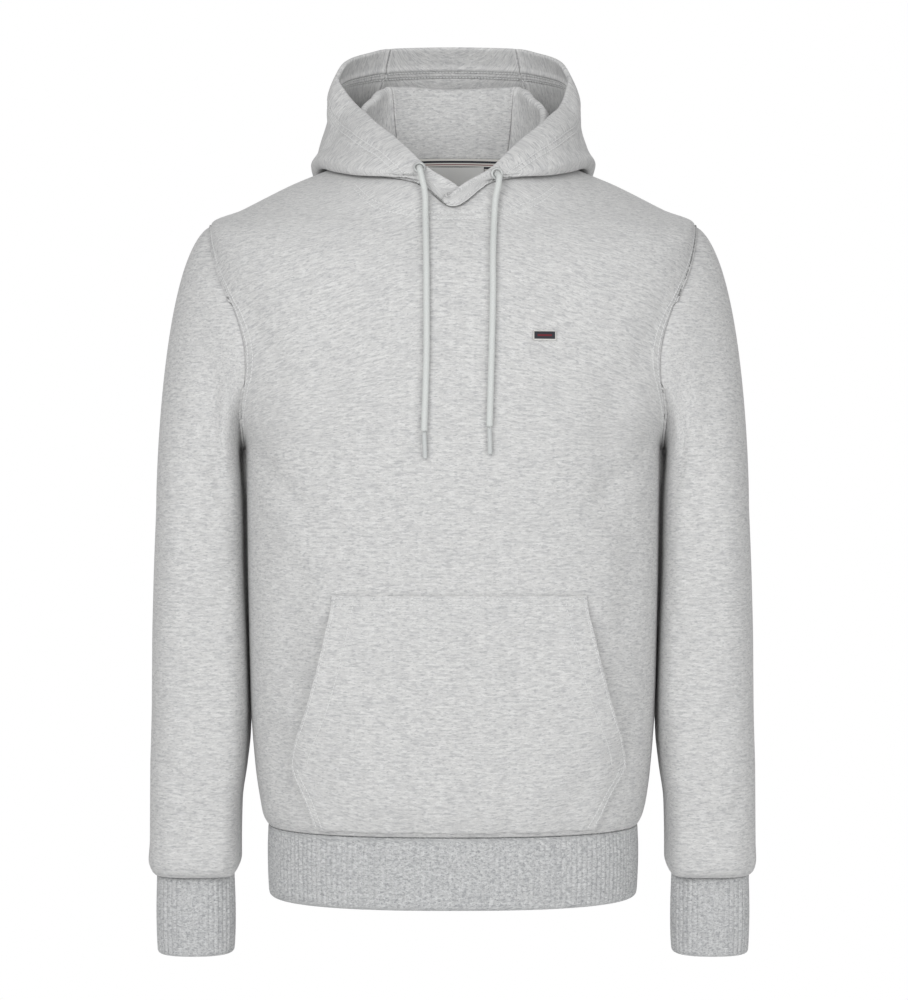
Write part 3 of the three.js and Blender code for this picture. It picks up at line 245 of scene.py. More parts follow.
def lengths_along(grid, axis):
    """Distance travelled along one direction of a grid, from its first row or column."""
    steps = np.linalg.norm(np.diff(grid, axis=axis), axis=-1)
    total = np.cumsum(steps, axis=axis)
    start = np.zeros_like(np.take(total, [0], axis=axis))
    return np.concatenate([start, total], axis=axis)


def edge_distance(grid, edges):
    """Distance of each grid point to the nearest of the named edges."""
    along = lengths_along(grid, 0)
    across = lengths_along(grid, 1)
    reach = {"first_row": along, "last_row": along[-1:] - along,
             "first_column": across, "last_column": across[:, -1:] - across}
    return np.minimum.reduce([reach[edge] for edge in edges])


def soft_thickness(distance, thickness):
    """A half round edge: t * sqrt(1 - (1 - d / h)^2) within h = t / 2 of the edge."""
    half = thickness / 2
    near = np.clip(1 - distance / half, 0, 1)
    return thickness * np.sqrt(np.maximum(1 - near ** 2, 0.08))


def mesh_object(name, points_mm, faces, uv_mm=None):
    """An object from points in millimetres and faces of four corners, with its map."""
    corners = points_mm[faces]
    volume = np.einsum("ij,ij->i", corners[:, 0], np.cross(corners[:, 1], corners[:, 2])).sum()
    volume += np.einsum("ij,ij->i", corners[:, 0], np.cross(corners[:, 2], corners[:, 3])).sum()
    if volume < 0:
        faces = faces[:, ::-1]
        uv_mm = None if uv_mm is None else uv_mm[:, ::-1]
    mesh = bpy.data.meshes.new(name)
    mesh.vertices.add(len(points_mm))
    mesh.vertices.foreach_set("co", (points_mm * MM).ravel())
    mesh.loops.add(faces.size)
    mesh.loops.foreach_set("vertex_index", np.ascontiguousarray(faces, np.int32).ravel())
    mesh.polygons.add(len(faces))
    mesh.polygons.foreach_set("loop_start", np.arange(0, faces.size, 4, dtype=np.int32))
    mesh.polygons.foreach_set("use_smooth", np.ones(len(faces), bool))
    mesh.update(calc_edges=True)
    if uv_mm is not None:
        layer = mesh.uv_layers.new(name="cloth")
        layer.data.foreach_set("uv", (uv_mm * MM).ravel())
    mesh.validate()
    piece = bpy.data.objects.new(name, mesh)
    bpy.context.scene.collection.objects.link(piece)
    return piece


def grid_faces(rows, columns, start=0, wrap=False):
    """Corner indices of a grid's faces, and the (row, column) of each corner."""
    r, c = np.meshgrid(np.arange(rows - 1), np.arange(columns if wrap else columns - 1), indexing="ij")
    corner_r = np.stack([r, r, r + 1, r + 1], axis=-1).reshape(-1, 4)
    corner_c = np.stack([c, c + 1, c + 1, c], axis=-1).reshape(-1, 4)
    return start + corner_r * columns + corner_c % columns, corner_r, corner_c


def wall_object(name, outer, inner, wrap=False, turn_map=False, down=None):
    """A closed wall between two grids of one size, with strips along its edges. The map
    is the distance from the middle column and down from the first row, in metres, unless
    the call gives another measure down."""
    rows, columns = outer.shape[:2]
    half = rows * columns
    last = columns if wrap else columns - 1
    around = np.concatenate([outer, outer[:, :1]], axis=1) if wrap else outer
    across = lengths_along(around, 1)
    if down is None:
        down = lengths_along(around, 0)
    elif wrap:
        down = np.concatenate([down, down[:, :1]], axis=1)
    if not wrap:
        across = across - across[:, [columns // 2]]

    def place(r, c):
        back = np.where((c.min(axis=-1, keepdims=True) >= columns // 2) & wrap, across[r, -1], 0)
        return np.stack([across[r, c] - back, down[r, c]], axis=-1)

    faces, corner_r, corner_c = grid_faces(rows, columns, wrap=wrap)
    uv = place(corner_r, corner_c)
    groups, maps = [faces, (faces + half)[:, ::-1]], [uv, uv[:, ::-1]]
    c = np.arange(last)
    for row, flip in ((0, 1), (rows - 1, -1)):
        here, after = row * columns + c, row * columns + (c + 1) % columns
        strip = np.stack([here, half + here, half + after, after], axis=-1)
        strip_uv = place(np.full((last, 4), row), np.stack([c, c, c + 1, c + 1], axis=-1))
        groups.append(strip[:, ::flip])
        maps.append(strip_uv[:, ::flip])
    if not wrap:
        r = np.arange(rows - 1)
        for column, flip in ((0, -1), (columns - 1, 1)):
            here = r * columns + column
            strip = np.stack([here, half + here, half + here + columns, here + columns], axis=-1)
            strip_uv = place(np.stack([r, r, r + 1, r + 1], axis=-1), np.full((len(r), 4), column))
            groups.append(strip[:, ::flip])
            maps.append(strip_uv[:, ::flip])
    uv = np.concatenate(maps)
    if turn_map:
        uv = uv[..., ::-1]
    points = np.concatenate([outer.reshape(-1, 3), inner.reshape(-1, 3)])
    return mesh_object(name, points, np.concatenate(groups), uv)


def thick_sheet(name, grid, normals, thickness, edges, wrap=False, turn_map=False, down=None):
    """Cloth whose outside is the grid: both sides draw together near the named edges."""
    thickness = np.broadcast_to(np.asarray(thickness, float), grid.shape[:2])
    here = soft_thickness(edge_distance(grid, edges), thickness) if edges else thickness
    draw = ((thickness - here) / 2)[..., None]
    outer = grid - normals * draw
    inner = grid - normals * (thickness[..., None] - draw)
    return wall_object(name, outer, inner, wrap, turn_map, down)


# %% [markdown]
# ## Soft folds
#
# Worn fleece has no sharp creases. It has long shallow troughs where it is drawn, and
# low ridges between them. Each fold is given one by one: where it starts and ends, how
# wide and how deep it is, and how far it bows to one side.

# %% Soft folds


def soft_folds(across, height, folds):
    """Sum of d * exp(-(offset / w)^2) * ends over the folds, where offset is the distance
    from the fold's bowed line and ends fades it out over a quarter of its length."""
    total = np.zeros(np.broadcast(across, height).shape)
    for x0, z0, x1, z1, width, depth, bow in folds:
        length = math.hypot(x1 - x0, z1 - z0)
        ux, uz = (x1 - x0) / length, (z1 - z0) / length
        along = ((across - x0) * ux + (height - z0) * uz) / length
        offset = (across - x0) * uz - (height - z0) * ux - bow * np.sin(np.pi * np.clip(along, 0, 1))
        ends = smooth_step(-0.12, 0.3, along) * (1 - smooth_step(0.7, 1.12, along))
        total += depth * np.exp(-(offset / width) ** 2) * ends
    return total


FRONT_FOLDS = (
    (-134, -372, -151, -505, 15, -4.3, 4), (-112, -150, -121, -312, 18, -2.2, -3),
    (147, -196, 143, -352, 17, -3, 3), (160, -330, 152, -470, 14, -3.2, -5),
    (-186, -268, -128, -338, 11, -3.5, 6), (186, -262, 120, -330, 12, -3.2, -7),
    (-172, -300, -116, -392, 13, 2, 6), (-168, -520, -150, -612, 12, -3, -4),
    (170, -505, 148, -612, 12, -3.2, 4), (-96, -628, -84, -560, 15, -2.2, 3),
    (-30, -634, -22, -580, 17, -1.8, -3), (42, -634, 52, -570, 14, -2, 3),
    (104, -632, 92, -575, 13, -2.4, -2), (-60, -90, -96, -158, 18, -1.9, 5),
    (62, -92, 108, -160, 18, -1.9, -5), (-196, -120, -150, -205, 14, -2.2, 8),
    (200, -126, 158, -214, 14, -1.9, -8), (-20, -300, -60, -372, 24, 1.6, 6),
    (70, -265, 92, -372, 22, 1.4, -6), (-70, -215, -40, -290, 26, -1.4, 4),
)
BACK_FOLDS = (
    (-150, -196, -138, -360, 18, -3.1, 5), (146, -188, 150, -372, 18, -2.9, -5),
    (-60, -280, -44, -470, 26, -2.9, 8), (50, -300, 66, -492, 24, -2.6, -8),
    (-186, -270, -110, -350, 13, -3.4, -8), (186, -266, 116, -356, 13, -3.1, 8),
    (-120, -470, -96, -606, 18, -3.1, 6), (112, -452, 98, -610, 18, -3.4, -5),
    (-10, -520, 6, -622, 20, -2.9, 4), (0, -170, -6, -300, 30, 1.8, 3),
    (-160, -560, -150, -626, 12, -2.9, 2), (158, -556, 150, -628, 12, -2.9, -2),
)


def hem_pucker(x, height):
    """Small uneven gathers just above the hem seam: a sum of three waves along x that
    fades out within 50 mm of the seam."""
    wave = np.sin(x * 0.21 + 0.6) + 0.7 * np.sin(x * 0.33 + 2.1) + 0.5 * np.sin(x * 0.127 + 4.0)
    return 0.55 * wave * np.exp(-((height + 622) / 26) ** 2)


def groove(distance, at, width=1.3, depth=0.55):
    """The dent that a row of stitches pulls: depth * exp(-((distance - at) / width)^2)."""
    return depth * np.exp(-((distance - at) / width) ** 2)


NECK_ARC = (
    (-92.3, -28.9), (-71.3, -49), (-39.3, -57.2), (-11.9, -60.8), (42.9, -58.1), (79.5, -44.4),
    (97.7, -28.9),
)
ARC_SLOPE = 0.85
BACK_PUCKER_SHIFT = 40
neck_arc_z = smooth_column(np.array(NECK_ARC)[:, 0], np.array(NECK_ARC)[:, 1])


def front_relief(x, z):
    """How far the folded front panel stands off its plain form."""
    return soft_folds(x, z, FRONT_FOLDS) + hem_pucker(x, z)


def back_relief(x, z):
    """How far the folded back panel stands off its plain form."""
    return soft_folds(x, z, BACK_FOLDS) + hem_pucker(x + BACK_PUCKER_SHIFT, z)


def neck_grooves(x, z):
    """Two dents that follow the rows of stitches under the hood's front edge."""
    above = (z - neck_arc_z(x)) * ARC_SLOPE
    near = 1 - smooth_step(88, 98, np.abs(x - 2))
    return (groove(above, 0, 1.6, 0.9) + groove(above, -5, 1.6, 0.9)) * near


# %% [markdown]
# ## Front and back
#
# The body panels are cut from fleece and sewn with their edges turned in, so the cloth
# dips a little along each seam. The rows of the grid start evenly round the armhole, so
# that each meets the sleeve, and spread to an even height over the middle of the panel.

# %% Front and back
ARMHOLE_ROWS = 60
LOWER_ROWS = 96
SHOULDER_ROWS = 44
PANEL_COLUMNS = 104


def even_armhole_ups(count):
    """Values of up that cut the front armhole edge into equal lengths."""
    fine = np.linspace(UNDERARM_UP, SHOULDER_UP, 2001)
    edge = body_point("front", fine, armhole_turn("front", fine))
    length = np.concatenate([[0], np.cumsum(np.linalg.norm(np.diff(edge, axis=0), axis=1))])
    return np.interp(np.linspace(0, length[-1], count + 1), length, fine)


armhole_ups = even_armhole_ups(ARMHOLE_ROWS)


def panel_grid(face):
    """Points of one panel by row and column, with the armholes cut in at both sides."""
    lower = soft_shares(LOWER_ROWS, UNDERARM_UP)[:-len(SOFT_EDGE)] * UNDERARM_UP
    upper_shares = soft_shares(SHOULDER_ROWS, NECK_UP - SHOULDER_UP)[len(SOFT_EDGE):]
    upper = SHOULDER_UP + upper_shares * (NECK_UP - SHOULDER_UP)
    edge_up = np.concatenate([lower, armhole_ups, upper])
    step = np.arange(ARMHOLE_ROWS + 1) / ARMHOLE_ROWS
    even = np.concatenate([lower, UNDERARM_UP + (SHOULDER_UP - UNDERARM_UP) * step, upper])
    share = soft_shares(PANEL_COLUMNS, 380)[None, :]
    up = edge_up[:, None] + (even - edge_up)[:, None] * np.sin(np.pi * share) ** 0.6
    depth = np.abs(body_columns[face + "_y"](edge_up) - body_columns["side_y"](edge_up))
    cut = (edge_up > UNDERARM_UP) & (edge_up < SHOULDER_UP)
    edge = np.maximum(np.where(cut, armhole_turn(face, edge_up), 0), SEAM_GAP / 2 / depth)[:, None]
    return body_point(face, up, edge + (np.pi - 2 * edge) * share), edge_up


def panel_normals(face, grid, edge_up):
    """Grid normals facing out; along the side and shoulder seams they keep to the seam
    plane, so the two panels' edges stay parallel."""
    normals = grid_normals(grid)
    facing = -1 if face == "front" else 1
    if normals[40, normals.shape[1] // 2, 1] * facing < 0:
        normals = -normals
    seam = (edge_up <= UNDERARM_UP) | (edge_up >= SHOULDER_UP)
    for column in (0, -1):
        flat = normals[:, column].copy()
        flat[:, 1] = 0
        normals[:, column] = np.where(seam[:, None], unit(flat), normals[:, column])
    return normals


SEAM_EDGES = ("first_row", "last_row", "first_column", "last_column")
FOLD_FADE = 22


def seam_dip(grid, depth=0.8, width=3.5, edges=SEAM_EDGES):
    """How far the cloth dips beside a seam: depth * exp(-(distance / width)^2)."""
    return depth * np.exp(-(edge_distance(grid, edges) / width) ** 2)


panel_edges = {}


def body_panel(face):
    """One folded body panel as a wall of cloth; also keeps its neck and side edges."""
    grid, edge_up = panel_grid(face)
    normals = panel_normals(face, grid, edge_up)
    x, z = grid[..., 0], grid[..., 2]
    dents = seam_dip(grid)
    if face == "front":
        relief = front_relief(x, z)
        dents = dents + neck_grooves(x, z)
    else:
        relief = back_relief(x, z)
    fade = smooth_step(0, FOLD_FADE, edge_distance(grid, SEAM_EDGES))
    folded = grid + normals * (relief * fade - dents)[..., None]
    panel_edges[face] = {"grid": folded, "normals": normals, "edge_up": edge_up}
    piece = thick_sheet(face + "_body_cloth", folded, normals, BODY_WALL, SEAM_EDGES)
    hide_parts(face + "_body")
    return piece


front_body = body_panel("front")
back_body = body_panel("back")
print("panels:", len(front_body.data.polygons), "faces each")

# %% [markdown]
# ## Sleeves
#
# A set-in sleeve starts as the armhole's own edge, a slanted loop on the shoulder, and
# turns down into a tube. For each point round the loop, one cubic curve carries the
# cloth from the armhole to the upper arm. It leaves along the shoulder at the top, and
# folds up and over under the arm.

# %% Sleeves
SLEEVE_NAMES = ("z", "inner_x", "outer_x", "centre_y", "half_depth")
SLEEVE_SECTIONS = (
    (-674, 205.5, 280, -16, 39), (-669.5, 203, 283.5, -16, 47), (-660, 201, 285.5, -15, 52),
    (-642, 201, 285, -13, 54), (-609, 200.5, 285, -11, 56), (-574, 196, 285, -9, 58),
    (-545, 193.2, 284.5, -6, 61), (-513, 192.4, 284, -4, 63), (-460, 193.6, 284, 0, 67),
    (-400, 196.1, 283, 4, 71), (-330, 197.6, 280.5, 6, 74),
)
SLEEVE_TOP_Z = -330
SLEEVE_END_Z = -674
TUBE_LENGTH = SLEEVE_TOP_Z - SLEEVE_END_Z
SLEEVE_FULLNESS = {1: 2.3, -1: 2.6}
INNER_FULLNESS = 1.6
SLEEVE_COLUMNS = 2 * ARMHOLE_ROWS
CAP_ROWS = 46
TUBE_ROWS = 104
ARMHOLE_GAP = 0.4
sleeve_table = np.array(SLEEVE_SECTIONS, float)
sleeve_columns = {
    name: smooth_column(sleeve_table[:, 0], sleeve_table[:, i]) for i, name in enumerate(SLEEVE_NAMES) if i
}
leaving_out = smooth_column((0, 0.5, 1), (30, 50, 130))
leaving_up = smooth_column((0, 0.5, 1), (27, -10, -60))
arriving_down = smooth_column((0, 0.5, 1), (-80, -130, -180))

# Each fold runs between two places given as (degrees round from the outside through the
# front, height), for the side named: 1 is the wearer's left and -1 the right.
SLEEVE_FOLDS = {
    -1: ((84, -205, 141, -352, 11, -4.4, 6), (62, -170, 96, -262, 14, -2.1, -4),
         (150, -350, 112, -452, 12, -2.6, 5), (128, -420, 150, -560, 12, -2.9, -4),
         (60, -470, 108, -540, 13, -2.1, 5), (40, -560, 100, -612, 12, -2.3, -4),
         (110, -600, 60, -660, 11, -2.1, 4), (-60, -230, -110, -350, 16, -3.4, 6),
         (-120, -400, -70, -500, 14, -3.1, -5), (-50, -540, -110, -620, 12, -2.6, 5)),
    1: ((92, -215, 140, -330, 11, -3.4, -6), (60, -180, 88, -275, 14, -1.8, 4),
        (146, -372, 116, -470, 12, -2.3, -5), (120, -452, 146, -566, 12, -2.6, 4),
        (56, -500, 100, -566, 13, -2.1, -5), (46, -590, 104, -640, 12, -2.3, 4),
        (-62, -240, -112, -352, 16, -3.4, -6), (-116, -410, -70, -512, 14, -2.9, 5),
        (-56, -552, -112, -628, 12, -2.6, -5)),
}
DEGREE_MM = 1.35


def sleeve_tube_point(z, turn, side):
    """A rounded oval between the inner and outer x of the sleeve at height z."""
    inner = sleeve_columns["inner_x"](z)
    outer = sleeve_columns["outer_x"](z)
    fullness = SLEEVE_FULLNESS[side] + INNER_FULLNESS * smooth_step(0, 0.7, -np.cos(turn))
    radius = oval_radius(turn, fullness)
    x = (inner + outer) / 2 + (outer - inner) / 2 * radius * np.cos(turn)
    y = sleeve_columns["centre_y"](z) - sleeve_columns["half_depth"](z) * radius * np.sin(turn)
    return np.stack([x, y, np.broadcast_to(z, x.shape)], axis=-1)


def armhole_loop():
    """The armhole edge of the wearer's left, from the shoulder point down the front and
    up the back, with the panels' normals and the direction into the armhole."""
    ups = np.concatenate([armhole_ups[::-1], armhole_ups[1:-1]])
    front = np.arange(len(ups)) <= ARMHOLE_ROWS
    points, normals = np.empty((len(ups), 3)), np.empty((len(ups), 3))
    for face, mask in (("front", front), ("back", ~front)):
        edge = panel_edges[face]
        plain, edge_up = panel_grid(face)
        row = np.searchsorted(edge_up, ups[mask] - 1e-6)
        points[mask] = plain[row, 0]
        normals[mask] = edge["normals"][row, 0]
    along = np.roll(points, -1, axis=0) - np.roll(points, 1, axis=0)
    into = unit(np.cross(along, normals))
    into *= np.sign(np.einsum("ij,ij->i", into, points.mean(axis=0) - points))[:, None]
    return points, normals, into


def sleeve(side, name):
    """Cap rows by the cubic (1 + 2s)(1 - s)^2 A + s (1 - s)^2 T0 + s^2 (3 - 2s) B
    - s^2 (1 - s) T1, then tube rows down to the cuff."""
    edge, edge_normals, into = armhole_loop()
    start = edge + into * ARMHOLE_GAP
    turn = 2 * np.pi * np.arange(SLEEVE_COLUMNS) / SLEEVE_COLUMNS
    share = (1 + np.cos(turn)) / 2
    top = sleeve_tube_point(SLEEVE_TOP_Z, turn, side)
    leave = np.stack([leaving_out(share), np.zeros_like(share), leaving_up(share)], axis=-1)
    arrive = np.stack([np.zeros_like(share), np.zeros_like(share), arriving_down(share)], axis=-1)
    near = np.array(SOFT_EDGE) / 150
    s = np.concatenate([near, (np.arange(1, CAP_ROWS) / CAP_ROWS)[1:] ** 1.35])[:, None, None]
    rest = 1 - s
    cap = ((1 + 2 * s) * rest ** 2 * start + s * rest ** 2 * leave
           + s ** 2 * (3 - 2 * s) * top - s ** 2 * rest * arrive)
    down = SLEEVE_TOP_Z - TUBE_LENGTH * soft_shares(TUBE_ROWS, TUBE_LENGTH)[len(SOFT_EDGE) - 1:]
    tube = sleeve_tube_point(down[:, None], turn[None, :], side)
    grid = np.concatenate([cap, tube])
    normals = grid_normals(grid, wrap=True)
    if normals[-40, 0, 0] < 0:
        normals = -normals
    normals[0] = edge_normals
    degrees = np.degrees((turn + np.pi) % (2 * np.pi) - np.pi)[None, :]
    folds = [(a * DEGREE_MM, za, b * DEGREE_MM, zb, *rest) for a, za, b, zb, *rest in SLEEVE_FOLDS[side]]
    relief = soft_folds(degrees * DEGREE_MM, grid[..., 2], folds)
    ends = edge_distance(grid, ("first_row", "last_row"))
    gathers = 0.8 * np.sin(turn * 13 + side) + 0.6 * np.sin(turn * 21 + 2 * side)
    relief += gathers[None, :] * np.exp(-(edge_distance(grid, ("last_row",)) / 22) ** 2)
    faces_body = smooth_step(-0.45, -0.85, np.cos(turn))[None, :] * smooth_step(-560, -520, grid[..., 2])
    relief *= smooth_step(0, 18, ends) * (1 - faces_body)
    dip = seam_dip(grid, width=4.5, edges=("first_row",))
    grid = grid + normals * (relief - dip)[..., None]
    flip = np.array([side, 1, 1])
    piece = thick_sheet(name + "_cloth", grid * flip, normals * flip, BODY_WALL,
                        ("first_row", "last_row"), wrap=True, down=-grid[..., 2])
    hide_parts(name)
    return piece


sleeve_left = sleeve(1, "sleeve_left")
sleeve_right = sleeve(-1, "sleeve_right")
print("sleeves:", len(sleeve_left.data.polygons), "faces each")

# %% [markdown]
# ## Ribbed hem and cuffs
#
# A two-by-two rib shows as a row of soft ridges, each two stitches wide, with a groove
# between them. The band is folded double, so its lower edge is round. The ridges are
# real geometry on the outside and the inside is plain.

# %% Ribbed bands
RIB_PITCH = 5.2
RIB_WALL = 3.0
RIB_DEPTH = 0.95
STEPS_A_RIB = 8
BAND_ROWS = 26
HEM_RIB = ((-628.4, 0, 0, 174.5, 117.5), (-650, 0, 0, 175.2, 118.2), (-689, 0, 0, 174, 117),
           (-692.6, 0, 0, 173.2, 116.2), (-694, 0, 0, 172.2, 115.2))
CUFF = ((-674.5, 242.5, -16, 36.3, 34), (-712, 242.3, -16.5, 36.8, 34), (-744, 242, -17, 36.2, 33),
        (-747, 242, -17, 35.4, 32.2), (-748, 242, -17, 34.6, 31.4))


def even_oval_turns(half_width, half_depth, fullness, count):
    """Turns that cut a rounded oval into equal lengths, and that oval's whole length."""
    fine = np.linspace(0, 2 * np.pi, 7201)
    radius = oval_radius(fine, fullness)
    line = np.stack([half_width * radius * np.cos(fine), half_depth * radius * np.sin(fine)], axis=-1)
    length = np.concatenate([[0], np.cumsum(np.linalg.norm(np.diff(line, axis=0), axis=1))])
    return np.interp(np.arange(count) / count * length[-1], length, fine), length[-1]


def ribbed_band(name, rows, fullness, mirror=1):
    """Outside: the oval less depth * w^2 where w is the groove share of |cos(pi s)| and s
    counts ribs; inside: the same oval moved in by the wall."""
    table = np.array(rows, float)[::-1]
    columns = [smooth_column(table[:, 0], table[:, i]) for i in range(1, 5)]
    _, length = even_oval_turns(table[-1, 3], table[-1, 4], fullness, 4)
    ribs = round(length / RIB_PITCH)
    turn, _ = even_oval_turns(table[-1, 3], table[-1, 4], fullness, ribs * STEPS_A_RIB)
    height = table[0, 0] - table[-1, 0]
    z = table[-1, 0] + height * soft_shares(BAND_ROWS, abs(height), 2.2)
    centre_x, centre_y, half_width, half_depth = (column(z)[:, None] for column in columns)
    radius = oval_radius(turn, fullness)[None, :]
    x = centre_x + half_width * radius * np.cos(turn)
    y = centre_y + half_depth * radius * np.sin(turn)
    grid = np.stack([x, y, np.broadcast_to(z[:, None], x.shape)], axis=-1)
    flat = np.stack([np.cos(turn) / half_width * (radius * np.abs(np.cos(turn))) ** (fullness - 2),
                     np.sin(turn) / half_depth * (radius * np.abs(np.sin(turn))) ** (fullness - 2),
                     np.zeros_like(x)], axis=-1)
    normals = unit(flat)
    rib = np.arange(ribs * STEPS_A_RIB) / STEPS_A_RIB
    ridge = np.abs(np.sin(np.pi * rib)) ** 0.7
    tug = 0.5 * np.sin(turn * 9 + 1) + 0.35 * np.sin(turn * 17 + 2)
    lean = tug[None, :] * np.sin(np.pi * (z[:, None] - z[0]) / height) * 0.7
    near_end = smooth_step(0, 3.5, np.minimum(z[0] - z, z - z[-1]))[:, None]
    outer = grid + normals * (lean - RIB_DEPTH * (1 - ridge[None, :]) * (0.45 + 0.55 * near_end))[..., None]
    inner = grid - normals * (RIB_WALL - 0.2 - lean[..., None])
    distance = np.minimum(z[0] - z, z - z[-1])[:, None]
    draw = ((RIB_WALL - soft_thickness(distance, RIB_WALL)) / 2)[..., None] * 0.7
    flip = np.array([mirror, 1, 1])
    outer, inner = (outer - normals * draw) * flip, (inner + normals * draw) * flip
    piece = wall_object(name + "_cloth", outer, inner, wrap=True)
    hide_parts(name)
    return piece


hem_rib = ribbed_band("hem_rib", HEM_RIB, 2.5)
cuff_left = ribbed_band("cuff_left", CUFF, 2.3)
cuff_right = ribbed_band("cuff_right", CUFF, 2.3, mirror=-1)
print("hem rib:", len(hem_rib.data.polygons), "faces")

# %% [markdown]
# ## The folded hood
#
# The hood is two side panels and a long middle panel, in double cloth. Folded down, its
# cloth stands up round the neck to a crest, drops behind it into a pouch, turns at the
# lobe that lies on the back, and comes up again on the outside to the wide face edge.
# Each row of the table is one line of cloth from the neck seam to the face edge, at a
# turn in degrees from the middle of the back. The pairs are (distance out, height).

# %% The folded hood
NECK_FULLNESS = 2.2
NECK_HALF_WIDTH, NECK_CENTRE_Y = 103, 8
NECK_BACK_DEPTH, NECK_FRONT_DEPTH = 54, 93
NECK_BACK_Z, NECK_FRONT_Z = 8, -54
HOOD_WALL = 3.2
HOOD_LEVELS = 11
HOOD_SECTIONS = (
    (0, (14, 76.5), (28, 52), (48, 0), (73, -60), (90, -96), (103, -65), (98, 10), (72, 75), (57, 102)),
    (34, (-2, 75), (12, 52), (30, 8), (52, -36), (70, -63), (84, -40), (80, 15), (56, 66), (41, 92)),
    (64, (-18, 60), (-9, 43), (6, 13), (22, -7), (36, -18), (43, -6), (37, 16), (29, 42), (27, 66)),
    (90, (-17, 44), (-9, 34), (2, 16), (13, 0), (24, -8), (30, 0), (20, 12), (14, 26), (9, 41)),
    (115, (-16, 22), (-9, 14), (-1, 2), (6, -9), (14, -17), (19, -8), (12, 4), (5, 15), (-3, 26)),
    (135, (-12, -2), (-8, -5), (-2, -11), (4, -18), (11, -24), (15, -18), (9, -8), (3, 0), (-6, 9)),
    (150, (-3, -21.5), (-2, -21), (0, -21.8), (2.5, -24), (5, -26.5), (6, -22.5), (4, -16.5), (1, -10.5),
     (-4, -4.5)),
    (165, (0, -34), (0, -33.2), (0.3, -32.4), (0.6, -31.6), (1, -30.6), (1, -29), (0.5, -27), (0, -24.5),
     (-1, -22)),
    (180, (0.2, -52), (0.4, -50.6), (0.6, -49.3), (0.8, -48), (1, -46.7), (1.5, -45.2), (2, -43.6),
     (2.4, -41.8), (2.7, -39.7)),
    (185, (0.2, -49.4), (0.4, -49), (0.6, -48.6), (0.8, -48.2), (1, -47.8), (1.2, -47.4), (1.5, -47),
     (1.7, -46.5), (1.9, -46)),
)
HOOD_RIM = (
    (0, 43, 127), (22, 37.5, 122.5), (34, 30, 115.5), (54, 21, 102), (64, 18, 88), (78, 5, 69.5),
    (95, -7, 51.5), (112, -14.7, 38), (135, -16.5, 18), (150, -10, 2.2), (165, -2, -19.3),
    (180, 3, -37), (185, 2.1, -45.4),
)
HOOD_SEAM = ((0, 30), (1, 38), (3, 30), (5, 24), (6, 23), (8, 22.5), (9, 22.5), (10, 22.5))
HOOD_END_TURN = 184.737
HOOD_SLIDE = 6
SLIDE_TURNS, SLIDE_LEVELS = (60, 100), (5, 9.5)
CROSSOVER_LIFT = 4.9
CROSSOVER_TUCK = 1.0
CROSSOVER_START, CROSSOVER_FULL = 154, 172
HOOD_LIFT = 0.7
HOOD_REST = 1.4
CASING_WIDTH = 26
CASING_EXTRA = 1.5


def hood_column(level, axis):
    """One measure of the hood's table as a smooth function of the turn."""
    return smooth_column([row[0] for row in HOOD_SECTIONS], [row[level][axis] for row in HOOD_SECTIONS],
                         flat_start=True)


hood_levels = [(hood_column(level, 0), hood_column(level, 1)) for level in range(1, HOOD_LEVELS - 1)]
rim_table = np.array(HOOD_RIM, float)
rim_out = smooth_column(rim_table[:, 0], rim_table[:, 1], flat_start=True)
rim_z = smooth_column(rim_table[:, 0], rim_table[:, 2], flat_start=True)
seam_table = np.array(HOOD_SEAM, float)
seam_turn = smooth_column(seam_table[:, 0], seam_table[:, 1])


def neck_point(degrees):
    """The neck seam: an oval with one depth behind and another in front, that rises
    behind and falls in front as neck_drop says. Also the direction out from it."""
    turn = np.radians(degrees)
    c = np.cos(turn)
    radius = oval_radius(turn, NECK_FULLNESS)
    behind = c > 0
    x = NECK_HALF_WIDTH * radius * np.sin(turn)
    y = NECK_CENTRE_Y + np.where(behind, NECK_BACK_DEPTH, NECK_FRONT_DEPTH) * radius * c
    z = np.where(behind, NECK_BACK_Z, NECK_FRONT_Z) * neck_drop(behind, np.abs(c))
    out = unit(np.stack([x, y - NECK_CENTRE_Y, np.zeros_like(x)], axis=-1))
    return np.stack([x, y, z], axis=-1), out


MAP_STEP = 5.0
OFF_THE_BODY = -1000


def body_top_map():
    """Height of the top of the body on a plan grid, read from the panels' own points by
    taking, at each cell, the mean height of the nearest three."""
    xs = np.arange(0, 156, MAP_STEP)
    ys = np.arange(-105, 150, MAP_STEP)
    points = []
    for face in ("front", "back"):
        up, turn = np.meshgrid(np.linspace(SHOULDER_UP - 60, NECK_UP, 90), np.linspace(0, np.pi / 2, 90))
        points.append(body_point(face, up, turn).reshape(-1, 3))
    points = np.concatenate(points)
    heights = np.empty((len(xs), len(ys)))
    for i, x in enumerate(xs):
        gap = (points[:, 0][None, :] - x) ** 2 + (points[:, 1][None, :] - ys[:, None]) ** 2
        nearest = np.argpartition(gap, 3, axis=1)[:, :3]
        close = np.take_along_axis(gap, nearest, axis=1)
        weight = 1 / (close + 0.2)
        height = (points[nearest, 2] * weight).sum(axis=1) / weight.sum(axis=1)
        heights[i] = np.where(close.min(axis=1) < 30, height, OFF_THE_BODY)
    return xs, ys, heights


top_x, top_y, top_z = body_top_map()


def body_top(x, y):
    """The map's height at (x, y), mixed from the four cells round it."""
    fx = np.clip(np.abs(x) / MAP_STEP, 0, len(top_x) - 1.001)
    fy = np.clip((y - top_y[0]) / MAP_STEP, 0, len(top_y) - 1.001)
    i, j = fx.astype(int), fy.astype(int)
    a, b = fx - i, fy - j
    return ((1 - a) * (1 - b) * top_z[i, j] + a * (1 - b) * top_z[i + 1, j]
            + (1 - a) * b * top_z[i, j + 1] + a * b * top_z[i + 1, j + 1])


